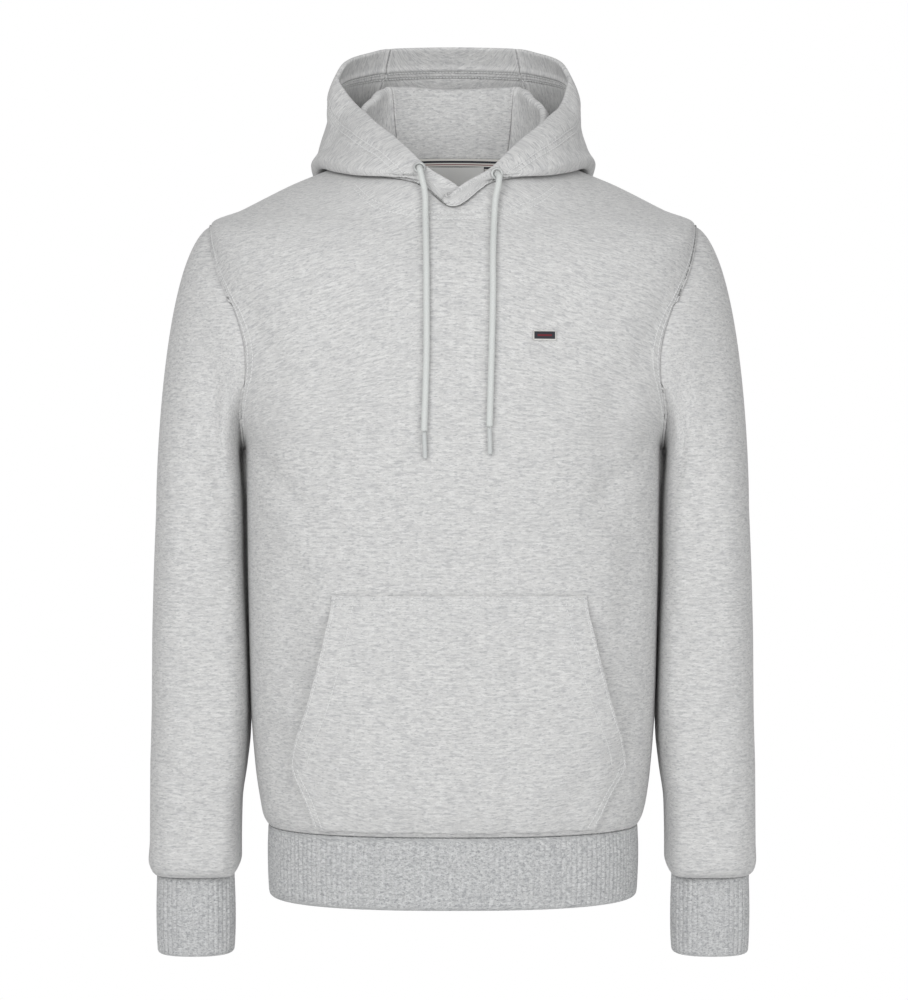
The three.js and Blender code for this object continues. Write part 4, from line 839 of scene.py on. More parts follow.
def hood_line(size):
    """Control pairs of the line of cloth at each turn: shape (..., 11, 2)."""
    neck, _ = neck_point(size)
    pairs = [np.stack([np.zeros_like(size), neck[..., 2] + HOOD_LIFT], axis=-1)]
    pairs += [np.stack([out(size), z(size)], axis=-1) for out, z in hood_levels]
    pairs.append(np.stack([rim_out(size), rim_z(size)], axis=-1))
    return np.stack(pairs, axis=-2)


def through_pairs(line, level):
    """A cubic through the pairs, spaced by the square root of the distance between them,
    so it never loops where two pairs lie close together."""
    gap = np.maximum(np.linalg.norm(np.diff(line, axis=-2), axis=-1), 0.01) ** 0.5
    slope = np.diff(line, axis=-2) / gap[..., None]
    inner = (slope[..., :-1, :] * gap[..., 1:, None] + slope[..., 1:, :] * gap[..., :-1, None])
    inner = inner / (gap[..., 1:] + gap[..., :-1])[..., None]
    tangent = np.concatenate([slope[..., :1, :], inner, slope[..., -1:, :]], axis=-2)
    i = np.clip(np.floor(level).astype(int), 0, HOOD_LEVELS - 2)
    t = (level - i)[..., None]
    rest = 1 - t

    def take(values, k):
        pick = np.broadcast_to(i[..., None, None] + k, values.shape[:-2] + (1, 2))
        return np.take_along_axis(values, pick, -2)[..., 0, :]

    width = np.take_along_axis(gap, i[..., None], -1)
    return (take(line, 0) * (1 + 2 * t) * rest ** 2 + take(tangent, 0) * width * t * rest ** 2
            + take(line, 1) * t ** 2 * (3 - 2 * t) - take(tangent, 1) * width * t ** 2 * rest)


def hood_point(degrees, level):
    """Neck point + distance out along the direction out, at the line's own height, and
    never lower than the shoulders that it lies on."""
    degrees, level = np.broadcast_arrays(np.asarray(degrees, float), np.asarray(level, float))
    size = np.abs(degrees)
    side = np.where(degrees < 0, -1.0, 1.0)
    pair = through_pairs(hood_line(size), level)
    neck, out = neck_point(size)
    crossing = smooth_step(CROSSOVER_START, CROSSOVER_FULL, size)
    lift = np.where(side > 0, CROSSOVER_LIFT, -CROSSOVER_TUCK) * crossing
    plan = neck[..., :2] + out[..., :2] * (pair[..., 0] + lift)[..., None]
    sink = np.where(side > 0, 1.0, 0.0) * crossing * (1 - smooth_step(0, 1, level))
    z = pair[..., 1] - sink
    rest = body_top(plan[..., 0], plan[..., 1]) + HOOD_LIFT
    rest = rest + (HOOD_REST - HOOD_LIFT) * smooth_step(0, 1, level)
    z = np.where(z > rest + 6, z, (z + rest + np.sqrt((z - rest) ** 2 + 0.6)) / 2)
    slide = HOOD_SLIDE * smooth_step(*SLIDE_TURNS, size) * smooth_step(*SLIDE_LEVELS, level)
    return np.stack([plan[..., 0] * side + slide, plan[..., 1], z], axis=-1)


# Folds on the hood run between places given as (degrees round, level times 30).
HOOD_FOLDS = (
    (-92, 205, -100, 262, 5, -2.2, 2), (-100, 200, -112, 255, 5, 1.6, 2),
    (-120, 215, -128, 262, 6, -1.6, -2), (-62, 180, -70, 245, 9, -3.0, 3),
    (-40, 170, -34, 250, 10, -3.4, -3), (86, 198, 96, 250, 6, -2.2, -2),
    (108, 205, 118, 258, 6, -1.8, 2), (58, 175, 66, 242, 9, -3.2, -3),
    (36, 160, 30, 246, 10, -3.0, 3), (8, 165, 4, 236, 10, -3.4, 2),
    (-16, 176, -10, 240, 9, -2.4, -3), (20, 30, 10, 88, 12, -2.6, 3),
    (-24, 22, -14, 80, 12, -2.2, -3), (52, 20, 44, 86, 9, -1.8, 3),
    (-54, 22, -46, 84, 9, -2.0, -3), (140, 232, 152, 282, 5, -1.1, 2),
    (-142, 236, -154, 284, 5, -1.2, -2), (0, 262, -14, 296, 10, 1.2, 3),
)


HOOD_ROWS = 150
TURN_STEP, LEVEL_STEP = 0.35, 0.06


def hood_panel(name, low, high, columns, seams):
    """One hood panel between two seams or ends; low and high give the turn at a level,
    and seams names the edges that are sewn to another panel."""
    level = soft_shares(HOOD_ROWS, 480, 2.0)[:, None] * (HOOD_LEVELS - 1)
    share = soft_shares(columns, 260, 1.4)[None, :]
    degrees = low(level) + (high(level) - low(level)) * share
    grid = hood_point(degrees, level)
    across = hood_point(degrees + TURN_STEP, level) - hood_point(degrees - TURN_STEP, level)
    up_level = np.clip(level + LEVEL_STEP, 0, HOOD_LEVELS - 1)
    down_level = np.clip(level - LEVEL_STEP, 0, HOOD_LEVELS - 1)
    up = hood_point(degrees, up_level) - hood_point(degrees, down_level)
    normals = unit(np.cross(up, across))
    rim_distance = edge_distance(grid, ("last_row",))
    relief = soft_folds(degrees, level * 30, HOOD_FOLDS)
    relief *= smooth_step(0, 14, edge_distance(grid, SEAM_EDGES))
    relief *= smooth_step(CASING_WIDTH - 8, CASING_WIDTH + 18, rim_distance)
    flat_front = smooth_step(148, 166, np.abs(degrees))
    in_casing = 1 - smooth_step(CASING_WIDTH - 3, CASING_WIDTH + 1.5, rim_distance)
    casing = CASING_EXTRA * in_casing * (1 - flat_front)
    past_casing = rim_distance - CASING_WIDTH
    rows_of_stitches = groove(past_casing, -1, 1.5, 1.2) + groove(past_casing, 5, 1.5, 1.2)
    ridges = groove(past_casing, -4, 2.2, 2.0) + groove(past_casing, 2, 1.7, 2.0)
    puff = 0.8 * np.sin(np.pi * np.clip(rim_distance / CASING_WIDTH, 0, 1)) * (1 - flat_front)
    relief = relief + casing * 0.4 + puff - rows_of_stitches - seam_dip(grid, 1.2, 3.0, seams)
    thickness = HOOD_WALL + casing + puff * 0.6 - rows_of_stitches * 1.8
    thickness = thickness + ridges * (1 - flat_front)
    grid = grid + normals * relief[..., None]
    piece = thick_sheet(name + "_cloth", grid, normals, thickness, SEAM_EDGES, turn_map=len(seams) == 1)
    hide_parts(name)
    return piece, grid, normals


HALF_SEAM = 0.16
SIDE_COLUMNS, CENTRE_COLUMNS = 120, 64
hood_panels = {
    "hood_left": hood_panel("hood_left", lambda level: seam_turn(level) + HALF_SEAM,
                            lambda level: level * 0 + HOOD_END_TURN, SIDE_COLUMNS, ("first_column",)),
    "hood_right": hood_panel("hood_right", lambda level: level * 0 - HOOD_END_TURN,
                             lambda level: -seam_turn(level) - HALF_SEAM, SIDE_COLUMNS, ("last_column",)),
    "hood_centre": hood_panel("hood_centre", lambda level: -seam_turn(level) + HALF_SEAM,
                              lambda level: seam_turn(level) - HALF_SEAM, CENTRE_COLUMNS,
                              ("first_column", "last_column")),
}
print("hood:", sum(len(p[0].data.polygons) for p in hood_panels.values()), "faces")

# %% [markdown]
# ## The kangaroo pocket
#
# The pocket is one more piece of fleece laid on the front panel. Its points are the
# front panel's own points moved out: close to the cloth where it is sewn down, and
# standing off along the two slanted openings, where hands have drawn it away.

# %% The pocket
# Each row is a height, half the width there, how far the opening gapes, and the middle.
POCKET_EDGE = (
    (-622, 126, 0, 1.5), (-594, 139, 0, 4), (-564, 153, 0, 5.8), (-548, 148.5, 0.3, 5.8),
    (-520, 137, 0.8, 5.8), (-480, 125.5, 1, 5.8), (-445, 118.5, 0.75, 5.8),
    (-420, 115.2, 0.1, 5.8), (-409, 114.5, 0, 5.8),
)
POCKET_BOTTOM_Z, POCKET_TOP_Z = POCKET_EDGE[0][0], POCKET_EDGE[-1][0]
POCKET_HEIGHT = POCKET_TOP_Z - POCKET_BOTTOM_Z
POCKET_SEWN = 2.9
POCKET_MIDDLE = 4.2
POCKET_GAPE = 9.5
POCKET_WALL = 1.8
OPENING_Z = -564
POCKET_FOLDS = (
    (-96, -430, -118, -552, 15, -2.3, -4), (92, -428, 116, -548, 15, -2, 4),
    (-40, -440, -62, -596, 24, -1.8, 5), (30, -452, 44, -600, 26, -1.6, -5),
    (-128, -566, -96, -614, 10, -1.8, 2), (126, -566, 98, -614, 10, -1.9, -2),
    (-4, -424, -8, -520, 28, 1.2, 3), (-80, -590, 20, -604, 16, 1.1, 3),
)
pocket_table = np.array(POCKET_EDGE, float)
pocket_half_width, pocket_open, pocket_centre = (
    smooth_column(pocket_table[:, 0], pocket_table[:, i]) for i in (1, 2, 3)
)
NEWTON_STEPS = 14
UP_STEP, TURN_NUDGE = 0.5, 0.002


def front_place(x, z):
    """The plain front panel's point with this x and z, found by Newton steps on up and
    turn, with its outward normal."""
    x, z = np.broadcast_arrays(np.asarray(x, float), np.asarray(z, float))
    ups = np.arange(NECK_UP - 2.0)
    up = np.interp(z, body_columns["front_z"](ups), ups)
    turn = np.arccos(np.clip(x / 200, -0.97, 0.97))
    for _ in range(NEWTON_STEPS):
        point = body_point("front", up, turn)
        by_up = (body_point("front", up + UP_STEP, turn) - point) / UP_STEP
        by_turn = (body_point("front", up, turn + TURN_NUDGE) - point) / TURN_NUDGE
        miss_x, miss_z = x - point[..., 0], z - point[..., 2]
        scale = by_up[..., 0] * by_turn[..., 2] - by_turn[..., 0] * by_up[..., 2]
        step_up = (miss_x * by_turn[..., 2] - by_turn[..., 0] * miss_z) / scale
        step_turn = (by_up[..., 0] * miss_z - miss_x * by_up[..., 2]) / scale
        up = np.clip(up + np.clip(step_up, -30, 30), 0, NECK_UP - 1)
        turn = np.clip(turn + np.clip(step_turn, -0.2, 0.2), 0.01, np.pi - 0.01)
    normal = unit(np.cross(by_turn, by_up))
    return point, normal * -np.sign(normal[..., 1:2])


def pocket_cloth():
    """Front point + normal * (sewn offset + middle rise + gape * open * step(share))."""
    z = (POCKET_TOP_Z - POCKET_HEIGHT * soft_shares(118, POCKET_HEIGHT, 1.6))[:, None]
    share = (2 * soft_shares(150, 280, 1.6) - 1)[None, :]
    x = pocket_centre(z) + pocket_half_width(z) * share
    base, normals = front_place(x, z)
    side = np.abs(share)
    gape = POCKET_GAPE * pocket_open(z) * smooth_step(0.45, 1, side)
    near_edge = smooth_step(POCKET_TOP_Z, -440, z) * smooth_step(POCKET_BOTTOM_Z, -590, z)
    middle = (POCKET_MIDDLE - POCKET_SEWN) * near_edge * (1 - smooth_step(0.8, 1, side))
    plain = base + normals * (POCKET_SEWN + middle + gape)[..., None]
    from_top = edge_distance(plain, ("first_row",))
    from_side = edge_distance(plain, ("first_column", "last_column"))
    inside = smooth_step(2, 16, edge_distance(plain, SEAM_EDGES))
    below_opening = 1 - smooth_step(OPENING_Z - 6, OPENING_Z + 2, z)
    relief = soft_folds(x, z, POCKET_FOLDS) * inside + front_relief(x, z) * 0.8
    relief -= groove(from_top, 3) + groove(from_top, 9)
    relief -= groove(from_side, 3) + groove(from_side, 9) * below_opening
    relief -= groove(from_side, 21, 1.5, 0.45) * (1 - below_opening)
    relief += 0.35 * np.sin(z * 0.9 + x * 0.2) * groove(from_side, 1.5, 2.5, 1.0) * (1 - below_opening)
    grid = plain + normals * relief[..., None]
    normals = grid_normals(grid)
    normals = normals * -np.sign(normals[..., 1:2])
    piece = thick_sheet("pocket_cloth", grid, normals, POCKET_WALL, SEAM_EDGES)
    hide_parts("pocket")
    return piece, grid, normals


pocket, pocket_grid, pocket_normals = pocket_cloth()
print("pocket:", len(pocket.data.polygons), "faces")

# %% [markdown]
# ## Drawstring, tips and eyelets
#
# The drawstring is a round cotton braid. Each free end leaves its eyelet, turns down
# over the band and lies on the chest. The route is a list of points, and a tube with
# the plaits of the braid in its surface is carried along it.

# %% Drawstring, tips and eyelets
CORD_RADIUS = 2.9
CORD_ROUTES = {
    "left": (
        (40.3, -84.0, -24.4), (42.3, -91.4, -28.1), (41.1, -94.1, -37.1), (39.2, -95.7, -46.3),
        (38.2, -97.8, -55.5), (37.7, -100.2, -64.7), (37.3, -104.0, -73.4), (36.9, -108.9, -81.6),
        (36.5, -113.7, -89.8), (36.3, -117.9, -98.3), (36.1, -121.7, -107.1), (36.0, -124.6, -116.1),
        (36.0, -126.8, -125.4), (36.0, -128.6, -134.7), (35.8, -130.2, -144.1), (35.6, -131.6, -153.5),
        (35.4, -132.8, -163.0), (35.2, -133.8, -172.4), (34.9, -134.7, -181.9), (34.7, -135.5, -191.4),
        (34.4, -136.0, -200.9), (34.2, -136.4, -210.4), (33.9, -136.7, -219.9), (33.6, -136.9, -229.5),
        (33.3, -137.1, -239.0), (33.0, -137.3, -248.5), (32.7, -137.5, -258.0),
    ),
    "right": (
        (-30.7, -81.4, -18.2), (-30.1, -89.0, -20.8), (-28.0, -91.3, -30.3), (-25.9, -92.8, -40.0),
        (-25.0, -94.9, -49.7), (-25.0, -97.7, -59.3), (-24.8, -102.0, -68.3), (-24.6, -106.8, -77.1),
        (-24.3, -111.8, -85.8), (-24.1, -116.3, -94.7), (-23.9, -120.5, -103.7), (-23.8, -124.0, -113.1),
        (-23.7, -126.5, -122.8), (-23.7, -128.5, -132.6), (-23.6, -130.2, -142.4), (-23.6, -131.7, -152.3),
        (-23.5, -133.0, -162.2), (-23.5, -134.1, -172.2), (-23.5, -135.0, -182.1), (-23.6, -135.8, -192.1),
        (-23.8, -136.3, -202.1), (-24.1, -136.7, -212.0), (-24.4, -137.0, -222.0), (-24.7, -137.2, -232.0),
        (-25.1, -137.3, -242.0), (-25.4, -137.5, -252.0), (-25.7, -137.8, -262.0),
    ),
}
TIP_ENDS = {"left": (33.3, -136.7, -283.0), "right": (-24.7, -137.0, -286.1)}
TIP_RADIUS = 2.1
TIP_LENGTH = 24
CORD_ROWS, CORD_COLUMNS = 420, 24
PLAIT_PITCH, PLAIT_DEPTH = 14, 0.42
WINDING_PITCH, WINDING_DEPTH = 0.9, 0.16
TIP_ROWS, TIP_COLUMNS = 96, 20
TIP_GAP = 0.4


def smooth_route(points, count):
    """Evenly spaced points on the curve whose tangents are the mean of the steps."""
    points = np.array(points, float)
    steps = np.concatenate([[0], np.cumsum(np.linalg.norm(np.diff(points, axis=0), axis=1))])
    tangent = np.gradient(points, steps, axis=0)
    s = np.linspace(0, steps[-1], count)
    i = np.clip(np.searchsorted(steps, s, side="right") - 1, 0, len(points) - 2)
    width = (steps[i + 1] - steps[i])[:, None]
    t = ((s - steps[i]) / (steps[i + 1] - steps[i]))[:, None]
    rest = 1 - t
    return (points[i] * (1 + 2 * t) * rest ** 2 + tangent[i] * width * t * rest ** 2
            + points[i + 1] * t ** 2 * (3 - 2 * t) - tangent[i + 1] * width * t ** 2 * rest), s


def tube_along(name, line, radius):
    """A tube: line + radius * (side * cos + front * sin), closed at both ends by rings
    that draw in to a small flat end."""
    rows, columns = radius.shape
    along = unit(np.gradient(line, axis=0))
    side = unit(np.cross(along, np.array([0.0, -1.0, 0.0])))
    front = np.cross(side, along)
    turn = 2 * np.pi * np.arange(columns) / columns
    ring = side[:, None] * np.cos(turn)[None, :, None] + front[:, None] * np.sin(turn)[None, :, None]
    grid = line[:, None] + ring * radius[..., None]
    faces, corner_r, corner_c = grid_faces(rows, columns, wrap=True)
    length = lengths_along(line[:, None], 0)[:, 0]
    uv = np.stack([corner_c / columns * 2 * np.pi * radius.mean(), length[corner_r]], axis=-1)
    caps, cap_maps = [], []
    quads = np.stack([np.zeros(columns // 2 - 1, int), np.arange(1, columns - 1, 2),
                      np.arange(2, columns, 2), np.arange(3, columns + 1, 2) % columns], axis=-1)
    for start, flip in ((0, -1), ((rows - 1) * columns, 1)):
        caps.append((start + quads)[:, ::flip])
        cap_maps.append(np.zeros((len(quads), 4, 2)))
    faces, uv = np.concatenate([faces] + caps), np.concatenate([uv] + cap_maps)
    return mesh_object(name, grid.reshape(-1, 3), faces, uv)


def round_ends(distance, reach, least):
    """sqrt(1 - (1 - d / reach)^2) near an end, squared never below the least share."""
    return np.sqrt(np.clip(1 - np.clip(1 - distance / reach, 0, 1) ** 2, least, 1))


def braided_cord(side):
    """Radius = r - plait * (1 - max of two crossing waves), which go round both ways."""
    line, s = smooth_route(CORD_ROUTES[side], CORD_ROWS)
    turn = 2 * np.pi * np.arange(CORD_COLUMNS)[None, :] / CORD_COLUMNS
    climb = s[:, None] * 2 * np.pi / PLAIT_PITCH
    plait = np.maximum(np.abs(np.sin(4 * turn + climb)), np.abs(np.sin(4 * turn - climb)))
    round_end = round_ends(np.minimum(s, s[-1] - s), 1.6, 0.02)[:, None]
    radius = (CORD_RADIUS - PLAIT_DEPTH * (1 - plait)) * round_end
    cord = tube_along("cord_" + side + "_braid", line, radius)
    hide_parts("cord_" + side)
    tip_start = line[-1]
    tip_along = unit(np.array(TIP_ENDS[side]) - tip_start)
    tip_s = TIP_LENGTH * soft_shares(TIP_ROWS, TIP_LENGTH, 1.2)
    wound = TIP_RADIUS - WINDING_DEPTH + WINDING_DEPTH * np.abs(np.sin(np.pi * tip_s / WINDING_PITCH))
    wound *= round_ends(np.minimum(tip_s, TIP_LENGTH - tip_s), 1.2, 0.04)
    tip_line = tip_start + tip_along * (TIP_GAP + tip_s)[:, None]
    tip = tube_along("cord_" + side + "_binding", tip_line, np.repeat(wound[:, None], TIP_COLUMNS, axis=1))
    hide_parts("cord_" + side + "_tip")
    return cord, tip, line


cords = {side: braided_cord(side) for side in ("left", "right")}

EYELETS = {
    "left": ((40.0, -82.9, -24.5), (0.249, -0.962, 0.109)),
    "right": ((-30.8, -80.3, -18.8), (0.059, -0.896, 0.44)),
}
EYELET_SEAT = 1.5
EYELET_RADIUS, EYELET_HALF_RIM, EYELET_RISE = 4.7, 1.3, 1.2
RING_STEPS, SECTION_STEPS = 48, 16


def eyelet_ring(side):
    """A ring whose section is a low half round, turned about the band's normal."""
    centre, normal = (np.array(values) for values in EYELETS[side])
    normal = unit(normal)
    level = unit(np.cross(normal, np.array([0.0, 0.0, 1.0])))
    upright = np.cross(level, normal)
    section = 2 * np.pi * np.arange(SECTION_STEPS) / SECTION_STEPS
    reach = EYELET_RADIUS + EYELET_HALF_RIM * np.cos(section)
    rise = 0.1 + EYELET_RISE * np.clip(np.sin(section), -0.25, 1)
    turn = 2 * np.pi * np.arange(RING_STEPS) / RING_STEPS
    around = level * np.cos(turn)[:, None] + upright * np.sin(turn)[:, None]
    grid = centre + normal * EYELET_SEAT + around[:, None] * reach[None, :, None]
    grid = grid + normal * rise[None, :, None]
    faces, corner_r, corner_c = grid_faces(RING_STEPS + 1, SECTION_STEPS, wrap=True)
    uv = np.stack([corner_r * 0.6, corner_c * 0.5], axis=-1).astype(float)
    faces = faces % (RING_STEPS * SECTION_STEPS)
    ring = mesh_object("eyelet_" + side + "_ring", grid.reshape(-1, 3), faces, uv)
    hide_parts("eyelet_" + side)
    return ring


eyelets = [eyelet_ring(side) for side in ("left", "right")]
print("cords:", [round(float(lengths_along(c[2][:, None], 0)[-1, 0])) for c in cords.values()], "mm")

# %% [markdown]
# ## Neck tape, label and badge
#
# These are flat woven strips. The tape covers the neck seam inside the back, the label
# hangs from it, and the badge is sewn to the chest. Each follows the cloth behind it.

# %% Neck tape, label and badge
TRIM_WALL = 0.8
TAPE_WIDTH, TAPE_HALF_TURN, TAPE_OFFSET, TAPE_TOP = 11.6, 84, 4.5, 1.2
LABEL_WIDTH, LABEL_HEIGHT, LABEL_TOP, LABEL_Y = 60, 42, 0.5, 55.5
BADGE_X, BADGE_Z, BADGE_WIDTH, BADGE_HEIGHT, BADGE_OFFSET = 82.3, -175.5, 21, 8.8, 1.3


def neck_tape():
    """Neck seam points moved in, from the tape's lower edge to its upper edge."""
    share = soft_shares(160, 300, 1.0)[None, :]
    rise = soft_shares(14, TAPE_WIDTH, 0.4)[:, None]
    seam, out = neck_point(TAPE_HALF_TURN * (2 * share - 1))
    shrink = TAPE_OFFSET + 0.8 * (1 - rise) + 0.5 * np.sin(np.pi * rise) + 0.25 * np.sin(share * 47)
    grid = seam - out * shrink[..., None]
    grid[..., 2] = seam[..., 2] + TAPE_TOP - TAPE_WIDTH * (1 - rise)
    inward = np.broadcast_to(out, grid.shape)
    piece = thick_sheet("neck_tape_twill", grid, inward, TRIM_WALL, SEAM_EDGES)
    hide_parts("neck_tape")
    return piece, grid, -inward


def neck_label():
    """A small rectangle, bowed in x as share^2 and in z as a low wave, with one crease."""
    down = soft_shares(34, LABEL_HEIGHT, 0.4)[:, None]
    share = (2 * soft_shares(44, LABEL_WIDTH, 0.4) - 1)[None, :]
    crease = 0.9 * np.exp(-((down - 0.62) / 0.035) ** 2)
    bow = 1.2 * np.sin(np.pi * down) - 2.2 * share ** 2
    y = LABEL_Y + bow - crease + 0.3 * np.sin(3 * share + 5 * down)
    x, z = LABEL_WIDTH / 2 * share, LABEL_TOP - LABEL_HEIGHT * down
    grid = np.stack(np.broadcast_arrays(x, y, z), axis=-1)
    normals = np.broadcast_to(np.array([0.0, 1.0, 0.0]), grid.shape)
    piece = thick_sheet("neck_label_satin", grid, normals, TRIM_WALL, SEAM_EDGES)
    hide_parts("neck_label")
    return piece, grid, -normals


def chest_badge():
    """A small rectangle on the front panel, a little proud along its sewn border."""
    z = (BADGE_Z + BADGE_HEIGHT * (0.5 - soft_shares(20, BADGE_HEIGHT, 0.5)))[:, None]
    x = (BADGE_X + BADGE_WIDTH * (soft_shares(40, BADGE_WIDTH, 0.5) - 0.5))[None, :]
    base, normals = front_place(x, z)
    relief = front_relief(*np.broadcast_arrays(x, z))
    grid = base + normals * (BADGE_OFFSET + relief)[..., None]
    border = 0.35 * (1 - smooth_step(0.9, 1.3, edge_distance(grid, SEAM_EDGES)))
    grid = grid + normals * border[..., None]
    piece = thick_sheet("chest_badge_woven", grid, normals, TRIM_WALL, SEAM_EDGES)
    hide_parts("chest_badge")
    return piece


tape, tape_grid, tape_normals = neck_tape()
label, label_grid, label_normals = neck_label()
badge = chest_badge()
print("trim:", [len(piece.data.polygons) for piece in (tape, label, badge)], "faces")

# %% [markdown]
# ## Stitches
#
# A topstitched seam is what tells fleece from a plain surface. Each stitch is a tiny
# rounded bar that lies half sunk in the cloth. Rows of them run beside the neck, round
# the armholes, along the hood's casing and round the pocket.

# %% Stitches
STITCH_PITCH = 3.2
STITCH_LENGTH = 2.5
STITCH_RADIUS = 0.5
BACK_NECK_ROWS, NECK_ARC_DROPS = (7, 13), (0, 6)
ARMHOLE_STITCH_ROWS = (4.5, 10.5)
POCKET_STITCH_ROWS, OPENING_STITCH_ROW = (3, 9), 21
ARC_SINK = 0.7


def line_beside(grid, normals, edge, distance, low=0.0, high=1.0):
    """The line at a distance inside one edge of a grid, between two shares of its run."""
    if edge.endswith("column"):
        grid, normals = grid.swapaxes(0, 1), normals.swapaxes(0, 1)
    if edge.startswith("last"):
        grid, normals = grid[::-1], normals[::-1]
    along = lengths_along(grid, 0)
    columns = np.arange(int(low * (grid.shape[1] - 1)), int(high * (grid.shape[1] - 1)) + 1)
    row = np.clip((along[:, columns] < distance).sum(axis=0) - 1, 0, len(grid) - 2)
    before, after = along[row, columns], along[row + 1, columns]
    t = np.clip((distance - before) / (after - before), 0, 1)[:, None]
    point = grid[row, columns] * (1 - t) + grid[row + 1, columns] * t
    return point, unit(normals[row, columns] * (1 - t) + normals[row + 1, columns] * t)


def stitch_rows(name, lines, sink=0.1, radius=STITCH_RADIUS, pitch=STITCH_PITCH):
    """Capsules of four rings of six points along each line, one for each pitch."""
    centres, alongs, outs = [], [], []
    for points, normals in lines:
        length = lengths_along(points[:, None], 0)[:, 0]
        at = np.arange(pitch, length[-1] - pitch, pitch)
        if len(at) < 2:
            continue
        place = np.stack([np.interp(at, length, points[:, k]) for k in range(3)], axis=-1)
        out = unit(np.stack([np.interp(at, length, normals[:, k]) for k in range(3)], axis=-1))
        centres.append(place + out * sink)
        alongs.append(unit(np.gradient(place, axis=0)))
        outs.append(out)
    centre, along, out = np.concatenate(centres), np.concatenate(alongs), np.concatenate(outs)
    side = unit(np.cross(along, out))
    reach = np.array([-0.5, -0.33, 0.33, 0.5]) * pitch * STITCH_LENGTH / STITCH_PITCH
    width = np.array([0.45, 1, 1, 0.45]) * radius
    bow = np.array([-0.35, 0, 0, -0.35]) * radius
    turn = 2 * np.pi * np.arange(6) / 6
    ring = (out[:, None, None] * np.cos(turn)[None, None, :, None]
            + side[:, None, None] * np.sin(turn)[None, None, :, None]) * width[None, :, None, None]
    points = (centre[:, None, None] + along[:, None, None] * reach[None, :, None, None]
              + out[:, None, None] * bow[None, :, None, None] + ring)
    faces, _, _ = grid_faces(4, 6, wrap=True)
    ends = np.array([[0, 3, 2, 1], [0, 5, 4, 3], [18, 19, 20, 21], [18, 21, 22, 23]])
    template = np.concatenate([faces[:, ::-1], ends[:, ::-1]])
    every = (np.arange(len(centre)) * 24)[:, None, None] + template[None]
    return mesh_object(name, points.reshape(-1, 3), every.reshape(-1, 4))


def neck_arc(drop):
    """The row of stitches that curves under the front of the hood, drop below the arc."""
    x = np.linspace(NECK_ARC[0][0], NECK_ARC[-1][0], 160)
    point, normal = front_place(x, neck_arc_z(x) - drop)
    return point - normal * ARC_SINK, normal


def panel_lines(face):
    """Two rows beside the neck and two beside each armhole."""
    edge = panel_edges[face]
    grid, normals, ups = edge["grid"], edge["normals"], edge["edge_up"]
    low = np.searchsorted(ups, UNDERARM_UP + 3) / (len(ups) - 1)
    high = np.searchsorted(ups, SHOULDER_UP - 1) / (len(ups) - 1)
    if face == "front":
        lines = [neck_arc(drop) for drop in NECK_ARC_DROPS]
    else:
        lines = [line_beside(grid, normals, "last_row", d) for d in BACK_NECK_ROWS]
    for column in ("first_column", "last_column"):
        lines += [line_beside(grid, normals, column, d, low, high) for d in ARMHOLE_STITCH_ROWS]
    return lines


body_stitches = stitch_rows("body_stitches", panel_lines("front") + panel_lines("back"))
hood_lines = []
for _, grid, normals in hood_panels.values():
    for d in (CASING_WIDTH - 1, CASING_WIDTH + 5):
        points, outs = line_beside(grid, normals, "last_row", d)
        hood_lines.append((points, outs))
        back = HOOD_WALL + (CASING_EXTRA if d < CASING_WIDTH else 0)
        hood_lines.append((points - outs * back, -outs))
hood_stitches = stitch_rows("hood_stitches", hood_lines)
upper = (POCKET_TOP_Z - OPENING_Z) / POCKET_HEIGHT
first_row, second_row = POCKET_STITCH_ROWS
pocket_lines = [line_beside(pocket_grid, pocket_normals, "first_row", d) for d in POCKET_STITCH_ROWS]
for column in ("first_column", "last_column"):
    pocket_lines.append(line_beside(pocket_grid, pocket_normals, column, first_row))
    pocket_lines.append(line_beside(pocket_grid, pocket_normals, column, second_row, upper))
    pocket_lines.append(line_beside(pocket_grid, pocket_normals, column, OPENING_STITCH_ROW, 0.04, upper))
pocket_stitches = stitch_rows("pocket_stitches", pocket_lines)
tape_lines = [line_beside(tape_grid, tape_normals, edge, 1.1) for edge in ("first_row", "last_row")]
label_lines = [line_beside(label_grid, label_normals, "first_row", 1.6)]
trim_stitches = stitch_rows("trim_stitches", tape_lines + label_lines, 0.05, 0.24, 2.2)
every_stitch = (body_stitches, hood_stitches, pocket_stitches, trim_stitches)
print("stitches:", sum(len(piece.data.polygons) for piece in every_stitch) // 22)

# %% [markdown]
# ## Materials as expressions
#
# A material is a small sum: a base colour, less some dark flecks, plus some light ones.
# Wrapping a node's socket in a class lets it be written that way, and each operator adds
# the Math node that does it.

# %% Shader helpers


class Wire:
    """One output socket; arithmetic on it adds a Math node."""

    def __init__(self, finish, socket):
        self.finish = finish
        self.socket = socket

    def math(self, operation, first, second=0.0):
        return self.finish.node("ShaderNodeMath", {"operation": operation}, {0: first, 1: second})

    def __add__(self, other):
        return self.math("ADD", self, other)

    def __sub__(self, other):
        return self.math("SUBTRACT", self, other)

    def __rsub__(self, other):
        return self.math("SUBTRACT", other, self)

    def __mul__(self, other):
        return self.math("MULTIPLY", self, other)

    __radd__ = __add__
    __rmul__ = __mul__

    def wave(self):
        return self.math("SINE", self * (2 * math.pi))

    def fraction(self):
        return self.math("FRACT", self)

    def size(self):
        return self.math("ABSOLUTE", self)


